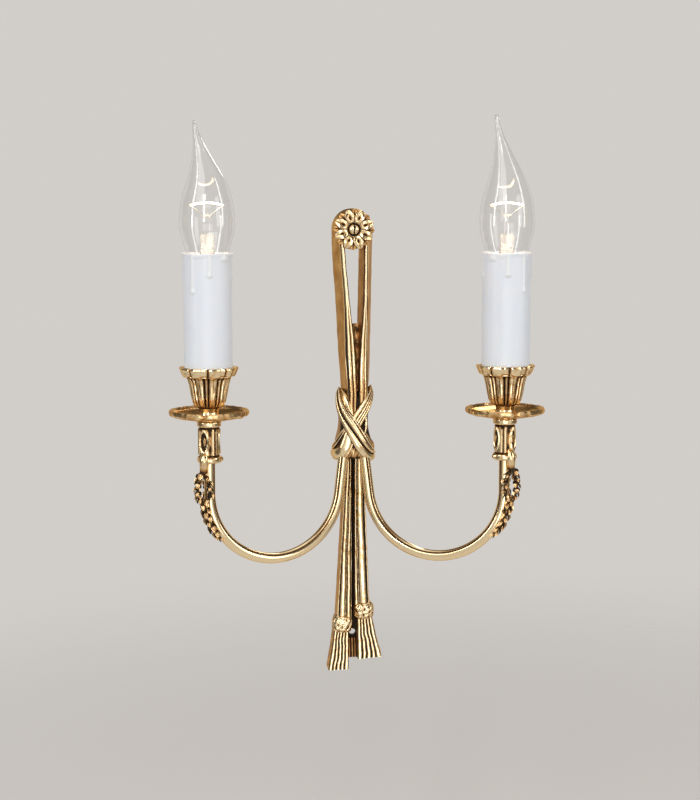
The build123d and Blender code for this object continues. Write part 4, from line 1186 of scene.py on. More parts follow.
@dataclass
class Rosette:
    """The flower on the loop's head: two rings of petals, a collar and a slotted screw."""

    head_z: float
    foot: float = 18.0
    reach: float = 13.6
    petals: int = 8
    first: float = -20.0
    petal_w: float = 7.3
    heel: float = 3.8
    front_rise: float = 3.9
    back_rise: float = 1.9
    plate_d: float = 18.0
    plate_t: float = 1.6
    collar_r: float = 5.2
    collar_h: float = 3.6
    screw_d: float = 7.2
    screw_foot: float = 20.6
    screw_h: float = 3.0
    slot_w: float = 0.9
    slot_depth: float = 0.9

    def petal(
        self, skin: Skin, turn: float, foot: float, rise: float, reach: float, shade: float = 0.0
    ) -> None:
        """One cupped, pointed petal.

        Its half width grows for three fifths of its length and closes to a point. Its top rises as a half wave,
        higher at its edges than along its vein, and a pit lies at the vein's root. Its underside is flat.

        Args:
            skin: The skin that it is added to.
            turn: Its direction, clockwise from up, in degrees.
            foot: Depth of its underside.
            rise: How far it stands above that.
            reach: Radius of its tip.
            shade: Patina that is added all over it.
        """
        a = np.linspace(0, 0.985, 22)[:, None]
        b = np.linspace(-1, 1, 17)[None, :]
        widest = 0.62
        grows = 0.42 + 0.58 * np.sin(a / widest * math.pi / 2)
        closes = ((1 - a) / (1 - widest)) ** 0.55
        half = self.petal_w / 2 * np.where(a < widest, grows, closes)
        notch = 0.5 * bump(np.abs(b), 0.55, 0.2) * bump(a, 0.86, 0.1)
        radius = self.heel + (reach - self.heel) * a - notch
        pit = bump(a, 0.42, 0.12) * bump(b, 0.0, 0.22)
        vein = bump(b, 0.0, 0.14) * smooth_step(0.1, 0.5, a)
        top = foot + rise * (0.45 + 0.55 * np.sin(math.pi * (0.12 + 0.78 * a)))
        top = top + rise * (0.16 * b**2 - 0.30 * smooth_step(0.8, 1.0, np.abs(b))) * np.sin(math.pi * a)
        top = top - rise * (0.22 * pit + 0.10 * vein)
        low = np.broadcast_to(foot, top[:, 1:-1].shape)
        across = np.concatenate([b * half, (b * half)[:, -2:0:-1]], 1)
        out = np.concatenate([radius, radius[:, -2:0:-1]], 1)
        deep = np.concatenate([top, low], 1)
        angle = math.radians(turn)
        x = out * math.sin(angle) + across * math.cos(angle)
        z = out * math.cos(angle) - across * math.sin(angle)
        edge = smooth_step(0.80, 0.96, np.abs(b)) * (1 - smooth_step(0.66, 0.95, a))
        heel = 0.8 * (1 - smooth_step(0.02, 0.14, a))
        dark = np.concatenate([shade + 0.95 * pit + 0.3 * vein + edge + heel, 0.9 + 0 * low], 1)
        numbers = skin.grid(np.stack([x, -deep, self.head_z + z], -1), dark, wrap_v=True)
        skin.close(numbers[0], (x[0].mean(), -deep[0].mean(), self.head_z + z[0].mean()), 0.9)
        tip = (reach * math.sin(angle), -(foot + 0.4 * rise), self.head_z + reach * math.cos(angle))
        skin.close(numbers[-1], tip, 0.0)

    def flower(self) -> None:
        """Plate, collar and both rings of petals."""
        skin = Skin()
        rim, r, h = self.plate_d / 2, self.collar_r, self.collar_h
        plate = [(rim, 0), (rim, self.plate_t), (r, self.plate_t)]
        disc = np.array([*plate, (r, h - 0.4), (r - 0.3, h), (r - 0.7, h), (r - 1.1, h - 1.2)])
        shade = np.array([0.9, 0.9, 0.9, 0.7, 0.0, 0.0, 1.0])[:, None]
        points = on_wall(turned(disc + np.array([0, self.foot]), 64), 0, self.head_z)
        skin.tube(points, np.broadcast_to(shade, points.shape[:2]))
        step = 360 / self.petals
        for i in range(self.petals):
            turn = self.first + step * (i + 0.5)
            self.petal(skin, turn, self.foot + 0.1, self.back_rise, self.reach - 0.2, 0.3)
        for i in range(self.petals):
            rise = self.front_rise - 0.25 * (i % 2)
            self.petal(skin, self.first + step * i, self.foot + 0.9, rise, self.reach - 0.3)
        skin.piece("rosette_flower", CAST_BRASS, FIXTURE, ["rosette"])

    def screw(self) -> None:
        """Domed screw head: a quarter ellipse turned about its axis, with a straight slot pressed in."""
        share = np.sin(np.linspace(0, math.pi / 2, 34))[::-1]
        radius = share[:-1] * self.screw_d / 2
        dome = self.screw_h * np.sqrt(1 - share[:-1] ** 2)
        profile = np.vstack([[(self.screw_d / 2 - 0.2, -1.0)], np.stack([radius, dome], -1)])
        points = turned(profile, 96)
        half = self.slot_w / 2
        slot = 1 - smooth_step(half - 0.08, half + 0.08, np.abs(points[..., 0]))
        slot *= points[..., 2] > 0.2
        points[..., 2] -= slot * self.slot_depth
        points[..., 2] += self.screw_foot
        skin = Skin()
        numbers = skin.grid(on_wall(points, 0, self.head_z), slot * 0.8, wrap_v=True)
        skin.close(numbers[0], (0, -self.screw_foot + 1.0, self.head_z), 0.9)
        slot_foot = self.screw_foot + self.screw_h - self.slot_depth
        skin.close(numbers[-1], (0, -slot_foot, self.head_z), 0.8)
        skin.piece("rosette_screw_head", ARM_BRASS, FIXTURE, ["rosette_screw"], crease=SOFT_CREASE)

    def build(self) -> None:
        """Flower and screw."""
        self.flower()
        self.screw()


# The arms and what they carry

NIPPLE_BORE_R = 5.05


@dataclass
class Arm:
    """One bowed arm, its cast sleeve and the garland of leaves on its bend."""

    side: Side
    axis_x: float
    axis_depth: float
    low: float
    medal: float
    root_x: float = 6.5
    root_depth: float = 20.0
    root_z: float = -9.0
    lean: float = 7.35
    bend: float = 46.0
    tube_d: float = 7.0
    reflection_line_at: float = 0.62
    reflection_line_depth: float = 0.1
    end_z: float = 3.0
    sleeve_foot: float = -10.5
    sleeve_top: float = 16.5
    sleeve_r: float = 6.75
    ring_r: float = 7.7
    bore_r: float = NIPPLE_BORE_R
    medal_w: float = 5.8
    medal_h: float = 14.0
    run: float = field(init=False)
    out: Array = field(init=False)
    plane: Array = field(init=False)

    def __post_init__(self) -> None:
        """Works out the arm's upright plane from its two ends."""
        reach = np.array([self.axis_x - self.root_x, -(self.axis_depth - self.root_depth)])
        self.run = float(np.linalg.norm(reach))
        x, y = reach / self.run
        self.out = np.array([self.side.value * x, y, 0.0])
        self.plane = np.array([-self.side.value * y, x, 0.0]) * self.side.value

    def place(self, along: Array, level: Array, off: Array | float = 0.0) -> Array:
        """Points of the arm's plane.

        Args:
            along: Distances from the root, along the plane.
            level: Heights.
            off: Distances off the plane.

        Returns:
            [..., 3] points.
        """
        root = np.array([self.side.value * self.root_x, -self.root_depth, 0.0])
        flat = root + np.multiply.outer(np.asarray(along, float), self.out)
        flat = flat + np.multiply.outer(np.broadcast_to(off, np.shape(along)), self.plane)
        flat[..., 2] = level
        return flat

    def centre_line(self) -> tuple[Array, Array]:
        """The tube's course in its plane: leaning root, two arcs that meet at the lowest point, upright end.

        Returns:
            Distances along the plane and levels.
        """
        lean = math.radians(self.lean)
        middle = self.run - self.bend
        drop = self.root_z - self.low
        root_bend = (middle * math.cos(lean) - drop * math.sin(lean)) / (1 - math.sin(lean))
        turn = np.linspace(math.pi + lean, 1.5 * math.pi, 48)
        first = (middle + root_bend * np.cos(turn), self.low + root_bend + root_bend * np.sin(turn))
        turn = np.linspace(1.5 * math.pi, 2 * math.pi, 48)[1:]
        second = (middle + self.bend * np.cos(turn), self.low + self.bend + self.bend * np.sin(turn))
        start = np.linspace(0, 1, 8, endpoint=False)
        root = (first[0][0] * start, self.root_z + (first[1][0] - self.root_z) * start)
        end_z = np.linspace(self.low + self.bend, self.end_z, 16)[1:]
        along = np.concatenate([root[0], first[0], second[0], np.full(len(end_z), self.run)])
        level = np.concatenate([root[1], first[1], second[1], end_z])
        return along, level

    def tube(self) -> None:
        """The tube: a circle carried along the centre line, with a painted dark reflection line, over a shallow
        groove, each side of the bow's inside.
        """
        along, level = self.centre_line()
        path = self.place(along, level)
        tangent = unit(np.gradient(path, axis=0))
        across = np.broadcast_to(self.plane, path.shape)
        out = np.cross(tangent, across)
        ring = circle(96)
        # Painted reflection: a dark line along the tube over a shallow groove; worn here is that painted line, not
        # wear
        line = bump(ring[:, 1], self.reflection_line_at, 0.12)
        section = ring[None] * (self.tube_d / 2 - self.reflection_line_depth * line)[:, None]
        worn = np.broadcast_to(0.02 + 0.98 * line, (len(path), len(ring)))
        skin = Skin()
        skin.tube(carried(path, across, out, section), worn)
        skin.piece(f"arm_tube_{self.side.label}", ARM_BRASS, FIXTURE, [f"arm_{self.side.label}"])

    def sleeve(self) -> None:
        """The sleeve: a turned form with a ring at each end and three panels, each with an oval medal.

        The relief of a panel is a sum of bells and steps over its width and height: the medal's rim, hollow
        and pupil, a strip, a groove and a dished stretch beside it.
        """
        foot, top, r, ring, bore = self.sleeve_foot, self.sleeve_top, self.sleeve_r, self.ring_r, self.bore_r
        outline = [
            (bore, top), (ring - 0.5, top), (ring, top - 0.8), (ring, top - 3.0), (ring - 0.6, top - 3.8),
            (r - 0.7, top - 4.4), (r, top - 5.2), (r, foot + 5.4), (r - 0.8, foot + 4.5),
            (ring - 0.5, foot + 4.0), (ring, foot + 3.3), (ring, foot + 1.4), (ring - 0.6, foot + 0.4),
            (ring - 1.6, foot), (self.tube_d / 2 + 0.05, foot), (bore, foot + 2),
        ]
        points = turned(finer(np.array(outline), 0.45), 128)
        z = points[..., 2]
        turn = np.arctan2(points[..., 1], points[..., 0])
        front = -math.pi / 2 + self.side.value * math.radians(self.medal)
        panel = (turn - front + math.pi / 3) % (2 * math.pi / 3) - math.pi / 3
        panel *= -self.side.value
        middle = (foot + top) / 2 + 0.4
        aside = panel * r
        wide, tall = aside / self.medal_w * 2, (z - middle) / self.medal_h * 2
        oval = np.hypot(wide, tall)
        rim = bump(oval, 1.0, 0.16)
        hollow = 1 - smooth_step(0.72, 0.92, oval)
        pupil = 1 - smooth_step(0.30, 0.52, np.hypot(wide - 0.25, tall))
        strip = bump(aside, 6.5, 0.8)
        groove = bump(aside, -5.9, 0.4)
        dished = bump(aside, 4.5, 1.3)
        outside = np.hypot(points[..., 0], points[..., 1]) > r - 1.0
        weight = smooth_step(foot + 4.6, foot + 5.6, z) * (1 - smooth_step(top - 5.4, top - 4.6, z)) * outside
        relief = 0.55 * rim - 0.75 * hollow + 0.75 * pupil + 0.5 * strip - 0.7 * groove - 0.6 * dished
        points[..., :2] *= 1 + (relief * weight / r)[..., None]
        nub = bump(aside, 0.4, 1.5) * bump(z, foot + 2.4, 1.5) * outside
        points[..., :2] *= (1 + 1.1 * nub / r)[..., None]
        # Painted shade: the dished stretch is painted darker, most about 5 mm above and below the medal's middle
        dish_shade = dished * (0.35 + 0.5 * bump(np.abs(z - middle), 5.0, 1.8))
        dark = (1.1 * hollow - 0.9 * pupil + groove + dish_shade) * weight - 0.6 * rim * weight
        # Dark joints where the rings meet the body, and painted shade in a broad band under the upper ring
        seam_and_shade = bump(z, top - 4.5, 0.45) + bump(z, foot + 4.6, 0.45)
        seam_and_shade = seam_and_shade + 0.5 * bump(z, top - 5.6, 0.9) * (1 - strip)
        dark = np.clip(dark + 0.95 * seam_and_shade * outside + 0.25 * ripple(points, 3.0, 41), 0, 1)
        points[..., 0] += self.side.value * self.axis_x
        points[..., 1] -= self.axis_depth
        skin = Skin()
        skin.grid(points, dark, wrap_u=True, wrap_v=True)
        skin.piece(f"sleeve_{self.side.label}", CAST_BRASS, FIXTURE, [f"leaf_sleeve_{self.side.label}"])

    def stem(self, skin: Skin, path: Array, radius: Array, plain: float, seed: int) -> None:
        """A stem along a path: a circle, smooth at its start and knotty further on.

        Args:
            skin: The skin that it is added to.
            path: [n, 3] points of its middle.
            radius: [n] radii.
            plain: Share of the path, from its start, that stays smooth and bright.
            seed: Seed of its roughness.
        """
        tangent = unit(np.gradient(path, axis=0))
        across = np.broadcast_to(self.plane, path.shape)
        knotty = smooth_step(plain - 0.06, plain + 0.06, np.linspace(0, 1, len(path)))[:, None]
        section = circle(28) * (radius[:, None] * (1 - 0.3 * knotty))[..., None]
        points = carried(path, across, np.cross(tangent, across), section)
        rough = ripple(points, 2.6, seed) * (0.15 + 0.85 * knotty)
        points += (points - path[:, None]) * (0.14 * rough[..., None])
        skin.tube(points, np.clip(0.06 + 0.6 * knotty - 0.4 * rough * knotty, 0, 1))

    def leaflet(self, skin: Skin, root: Array, way: Array, up: Array, size: float) -> None:
        """A small cupped leaf that lies along a stem and lifts at its tip.

        Args:
            skin: The skin that it is added to.
            root: Where it starts.
            way: Its direction.
            up: The direction that it lifts to.
            size: Its length.
        """
        a = np.linspace(0, 0.97, 9)[:, None]
        b = np.linspace(-1, 1, 9)[None, :]
        half = 0.32 * size * np.sin(math.pi * (0.1 + 0.9 * a)) ** 0.8
        cup = 0.12 * b**2 * np.sin(math.pi * a) + 0.08 * bump(b, 0, 0.25)
        lift = size * (0.14 + 0.13 * np.sin(2.4 * a) + cup)
        low = lift[:, -2:0:-1] - 0.2 * size * np.sin(math.pi * (0.15 + 0.8 * a))
        along = np.broadcast_to(a * size, lift.shape)
        side = np.cross(way, up)
        reach = np.concatenate([along, along[:, -2:0:-1]], 1)[..., None]
        rise = np.concatenate([lift, low], 1)[..., None]
        across = np.concatenate([b * half, (b * half)[:, -2:0:-1]], 1)[..., None]
        points = root + reach * way + rise * up + across * side
        vein = bump(np.abs(b), 0.42, 0.2) * np.sin(math.pi * a)
        base = 1 - smooth_step(0.05, 0.36, a)
        edge = smooth_step(0.8, 1.0, np.abs(b))
        dark = np.clip(np.concatenate([0.5 * vein + 0.8 * base + 0.4 * edge, 0.9 + 0 * low], 1), 0, 1)
        numbers = skin.grid(points, dark, wrap_v=True)
        skin.close(numbers[0], points[0].mean(0), 0.9)
        skin.close(numbers[-1], root + way * size + up * 0.2 * size, 0.0)

    def garland(self) -> None:
        """Stems that part round an opening and join along the bend, with rings of leaves along all of them.

        Each stem has its course in the arm's plane, its thickness and its distance off the plane at a few
        stations, how many rings of how many leaves it carries, its plain share and its seed.
        """
        skin = Skin()
        edge = self.run + self.tube_d / 2
        centre = (self.run - self.bend, self.low + self.bend)
        bend = np.radians((4.0, 12.0, 22.0, 31.0, 40.0))
        spread = self.bend + self.tube_d / 2 + np.array([0.5, 0.4, 0.2, -0.1, -0.9])
        low_x = centre[0] + spread * np.cos(bend)
        low_z = centre[1] - spread * np.sin(bend)
        outer_x = edge + np.array((-0.2, 1.6, 1.6, 3.6, 4.8, 4.2, 2.0))
        outer = (outer_x, (-2.5, -8.0, -14.0, -20.0, -26.0, -32.0, -37.5))
        inner = (edge + np.array((1.4, -1.2, -2.2, -2.2, -1.0)), (-16.5, -20.5, -26.0, -31.5, -37.0))
        lower = (low_x, low_z)
        aside = np.array((1.4, 2.7, 3.2, 3.1, 2.0))
        stout, thin = (1.8, 3.0, 2.6, 1.6, 1.35, 1.35, 1.8), (1.2, 1.3, 1.4, 1.4, 1.7)
        draw = np.random.default_rng(53)
        stems = (
            (outer, stout, (2.8, 4.2, 2.6, 0.8, 0.0, 0.0, 0.2), 12, 3, 0.36, 43),
            (inner, thin, aside, 6, 3, 0.0, 47),
            (inner, thin, -aside, 6, 3, 0.0, 49),
            (lower, (2.3, 2.5, 2.2, 1.7, 1.0), (0.3, 0.7, 0.8, 0.8, 0.8), 11, 4, 0.0, 59),
        )
        for (x, z), thick, off, rows, ring, plain, seed in stems:
            knots = np.linspace(0, 1, len(x))
            t = np.linspace(0, 1, 150)
            front = -self.side.value * smooth_curve(knots, off, t)
            path = self.place(smooth_curve(knots, x, t), smooth_curve(knots, z, t), front)
            size = smooth_curve(knots, thick, t)
            self.stem(skin, path, size, plain, seed)
            tangent = unit(np.gradient(path, axis=0))
            outward = unit(np.cross(tangent, self.plane))
            outward *= np.sign(outward @ self.out)[:, None]
            for i in range(ring * math.ceil(rows * plain), rows * ring):
                spot = int((i // ring + draw.uniform(0.0, 0.35)) / rows * (len(t) - 8))
                turn = 2 * math.pi / ring * (i % ring + 0.5 * (i // ring % 2)) + draw.uniform(-0.3, 0.3)
                up = outward[spot] * math.cos(turn) + self.plane * math.sin(turn)
                way = unit(tangent[spot] + draw.uniform(0.12, 0.3) * up)
                root = path[spot] + up * size[spot] * 0.4
                length = (1.9 + 1.15 * size[spot]) * draw.uniform(0.85, 1.2)
                self.leaflet(skin, root, way, unit(up - way * (up @ way)), length)
        skin.piece(f"leaf_garland_{self.side.label}", CAST_BRASS, FIXTURE, [f"leaf_sleeve_{self.side.label}"])

    def build(self) -> None:
        """Tube, sleeve and garland."""
        self.tube()
        self.sleeve()
        self.garland()


@dataclass
class CandleHolder:
    """One candle's turned and cast metal: drip pan and fluted cup."""

    side: Side
    axis_x: float
    axis_depth: float
    pan_foot: float
    cup_top: float
    pan_r: float = 25.7
    pan_floor_r: float = 9.5
    pan_t: float = 1.6
    pan_rise: float = 5.2
    bore_r: float = NIPPLE_BORE_R
    neck_r: float = 6.3
    leaves: int = 9
    seat_r: float = 15.55
    seat_depth: float = 1.4
    well_r: float = 8.2
    lip_r: float = 19.0

    def stand(self, points: Array) -> Array:
        """Points about the candle's own axis moved to their place."""
        return points + np.array([self.side.value * self.axis_x, -self.axis_depth, 0.0])

    def pan(self) -> None:
        """The pan: a dished profile turned about the candle, with a hand-filed rim, a nick and a lug."""
        foot, floor, rim, t = self.pan_foot, self.pan_floor_r, self.pan_r, self.pan_t
        top = foot + t + self.pan_rise
        hem = foot + self.pan_rise
        under = [(self.bore_r, foot), (floor, foot), (rim - 3.2, hem - 2.6), (rim - 0.6, hem - 1.6)]
        edge = [(rim, hem - 0.8), (rim, top - 0.7), (rim - 0.7, top)]
        edge += [(rim - 1.8, top - 0.1), (rim - 3.0, top - 1.7)]
        inside = [(rim - 8.0, foot + t + 1.9), (floor, foot + t), (self.bore_r, foot + t)]
        points = turned(finer(np.array([*under, *edge, *inside]), 0.6), 160)
        turn = np.arctan2(points[..., 1], points[..., 0])
        radius = np.hypot(points[..., 0], points[..., 1])
        outer = smooth_step(rim - 4.0, rim - 0.4, radius)
        front = (turn + math.pi / 2 - 0.1 * self.side.value + math.pi) % (2 * math.pi) - math.pi
        file = 0.16 * np.sin(23 * turn) + 0.12 * np.sin(41 * turn + 1.0) + 0.18 * np.sin(7 * turn + 0.4)
        nick = bump(front, 0.0, 0.07)
        lug = bump(front, -1.08 * self.side.value, 0.05)
        low = 1 - smooth_step(hem - 1.5, top - 0.6, points[..., 2])
        reach = np.minimum(file, 0.05) - 0.5 * nick - 0.3 * (1 - lug)
        points[..., :2] *= (1 + outer * reach / rim)[..., None]
        points[..., 2] += outer * (0.35 * file - 1.1 * nick * (1 - low) + 0.5 * nick * low - 0.7 * lug * low)
        dark = 0.3 * bump(radius, floor, 2.5) + outer * (0.25 * nick - 0.6 * file * low)
        skin = Skin()
        skin.grid(self.stand(points), np.clip(dark + 0.12, 0, 1), wrap_u=True, wrap_v=True)
        label = self.side.label
        skin.piece(f"drip_pan_{label}_spun", PAN_BRASS, FIXTURE, [f"drip_pan_{label}"])

    def cup(self) -> None:
        """The cup: a turned profile whose outside swells into broad leaves, parted by pairs of dark grooves.

        Round the cup each leaf is a rounded hump with a groove on each side; on the lip the humps become
        turned-out tips, so the lip's reach and height follow the same wave.
        """
        foot = self.pan_foot + self.pan_t
        top = self.cup_top
        r, seat_z = self.neck_r, top - self.seat_depth
        outline = [
            (self.bore_r, foot), (r + 0.5, foot), (r + 0.2, foot + 0.9), (r - 0.5, foot + 4.0),
            (r - 0.1, foot + 6.2), (8.4, foot + 7.6), (9.9, foot + 10.5), (10.9, foot + 15), (12.0, foot + 21),
            (13.2, foot + 25.2), (14.2, top - 6.2), (16.4, top - 5.8), (17.5, top - 4.4), (18.2, top - 2.6),
            (self.lip_r, top - 1.0), (18.7, top - 0.1), (17.6, top - 0.3), (self.seat_r + 1.0, top),
            (self.seat_r, top - 0.2), (self.seat_r, seat_z), (self.well_r, seat_z), (self.well_r, foot + 16),
            (self.bore_r, foot + 16),
        ]
        points = turned(finer(np.array(outline), 0.5), 192)
        z = points[..., 2]
        radius = np.hypot(points[..., 0], points[..., 1])
        turn = np.arctan2(points[..., 1], points[..., 0])
        wave = self.leaves * (turn + 0.2) / (2 * math.pi)
        share = wave - np.floor(wave)
        hump = np.sin(math.pi * np.clip((share - 0.08) / 0.62, 0, 1)) ** 0.6
        groove = np.maximum.reduce([bump(share, at, 0.06) for at in (0.055, 0.73, 1.055)])
        fillet = bump(share, 0.885, 0.07)
        second = bump(share, 0.39, 0.03) * bump(z, foot + 20, 7.0)
        outside = radius > np.interp(z, (foot + 5, foot + 9, top - 5), (5.5, 8.0, 11.0))
        flutes = smooth_step(foot + 6.4, foot + 8.6, z) * (1 - smooth_step(top - 7.2, top - 6.2, z)) * outside
        tips = smooth_step(top - 6.2, top - 5.4, z) * smooth_step(13.6, 15.2, radius)
        tips *= smooth_step(self.seat_r + 0.8, self.seat_r + 1.8, radius + 3 * (z < top - 2))
        cleft = np.maximum(bump(share, 0.02, 0.05), bump(share, 1.02, 0.05))
        relief = flutes * (0.95 * hump + 0.45 * fillet - 1.3 * groove - 0.5 * second)
        relief += tips * (0.6 * hump - 1.0 * cleft - 0.6)
        points[..., :2] *= (1 + relief / np.maximum(radius, 1.0))[..., None]
        hem = bump(z, top - 5.6, 1.0)
        points[..., 2] += tips * (0.15 * hump - 0.3 * cleft - 0.15 - 0.9 * hem * (hump - 0.5))
        dark = flutes * np.clip(1.25 * groove + 1.1 * second - 0.2 * hump, 0, 1) + tips * 0.8 * cleft
        # Painted shadow: a dark band under the lip, darker in the grooves
        dark += (0.35 + 0.5 * groove) * bump(z, top - 6.7, 0.7) * outside * (radius < 15.2)
        dark += 0.6 * bump(z, foot + 6.8, 0.8) * outside
        points = self.stand(points)
        skin = Skin()
        dark = np.clip(dark + 0.15 * ripple(points, 5.0, 61), 0, 1)
        skin.grid(points, dark, wrap_u=True, wrap_v=True)
        label = self.side.label
        skin.piece(f"fluted_cup_{label}", CAST_BRASS, FIXTURE, [f"candle_cup_{label}"])

    def build(self) -> None:
        """Pan and cup."""
        self.pan()
        self.cup()


@dataclass
class CandleTube:
    """The white candle tube with its poured-wax rim and drips."""

    side: Side
    axis_x: float
    axis_depth: float
    foot: float
    top: float
    radius: float = 15.25
    wall: float = 1.0
    rim: float = 0.5
    crease: float = 60.0
    # Each drip's direction from the front in degrees, its length and its half width in degrees
    drips: tuple[tuple[float, float, float], ...] = (
        (-94, 17.0, 9), (-37, 26.0, 5), (6, 16.0, 5), (44, 6.0, 9), (86, 17.0, 9),
        (128, 12.0, 8), (170, 19.0, 9), (-136, 22.0, 7),
    )

    def build(self) -> None:
        """The tube: outer wall, rolled rim and bore turned about the axis, with drips raised on the outside.

        A drip is a bell across its width that runs down to its own length and ends in a rounded drop.
        """
        inner = self.radius - self.wall
        lip = self.radius + 0.1
        wall = [(inner, self.foot), (self.radius, self.foot)]
        mouth = [(lip, self.top - 0.6), (lip - 0.35, self.top), (inner, self.top - 0.3)]
        points = turned(finer(np.array([*wall, *mouth]), 0.55), 144)
        z = points[..., 2]
        turn = np.degrees(np.arctan2(points[..., 0], -points[..., 1]))
        fall = self.top - z
        raised = np.zeros(z.shape)
        for middle, length, half in self.drips:
            off = (turn - middle + 180) % 360 - 180
            narrow = half * (0.75 + 0.25 * bump(fall, length - 1.5, 2.5))
            run = bump(off, 0, narrow) * (1 - smooth_step(length - 1.8, length, fall))
            drop = 0.5 * bump(off, 0, narrow) * bump(fall, length - 2.2, 1.6)
            raised = np.maximum(raised, 0.7 * run + drop)
        collar = 0.45 * (1 - smooth_step(1.5, 3.6, fall + 0.8 * np.sin(np.radians(turn) * 5 + 0.7)))
        raised = np.maximum(raised, collar)
        outside = np.hypot(points[..., 0], points[..., 1]) > self.radius - 0.2
        raised *= outside
        points[..., :2] *= (1 + np.minimum(raised, 2 * self.rim) / self.radius)[..., None]
        uneven = np.sin(np.radians(turn) * 4) * np.sin(np.radians(turn) * 7 + 1)
        points[..., 2] -= 0.35 * (fall < 0.7) * (1 + uneven)
        points += np.array([self.side.value * self.axis_x, -self.axis_depth, 0.0])
        skin = Skin()
        skin.grid(points, np.clip(raised * 1.6, 0, 1), wrap_u=True, wrap_v=True)
        label = self.side.label
        skin.piece(f"candle_sleeve_{label}", WAX, f"candle_{label}", [f"candle_tube_{label}"], self.crease)


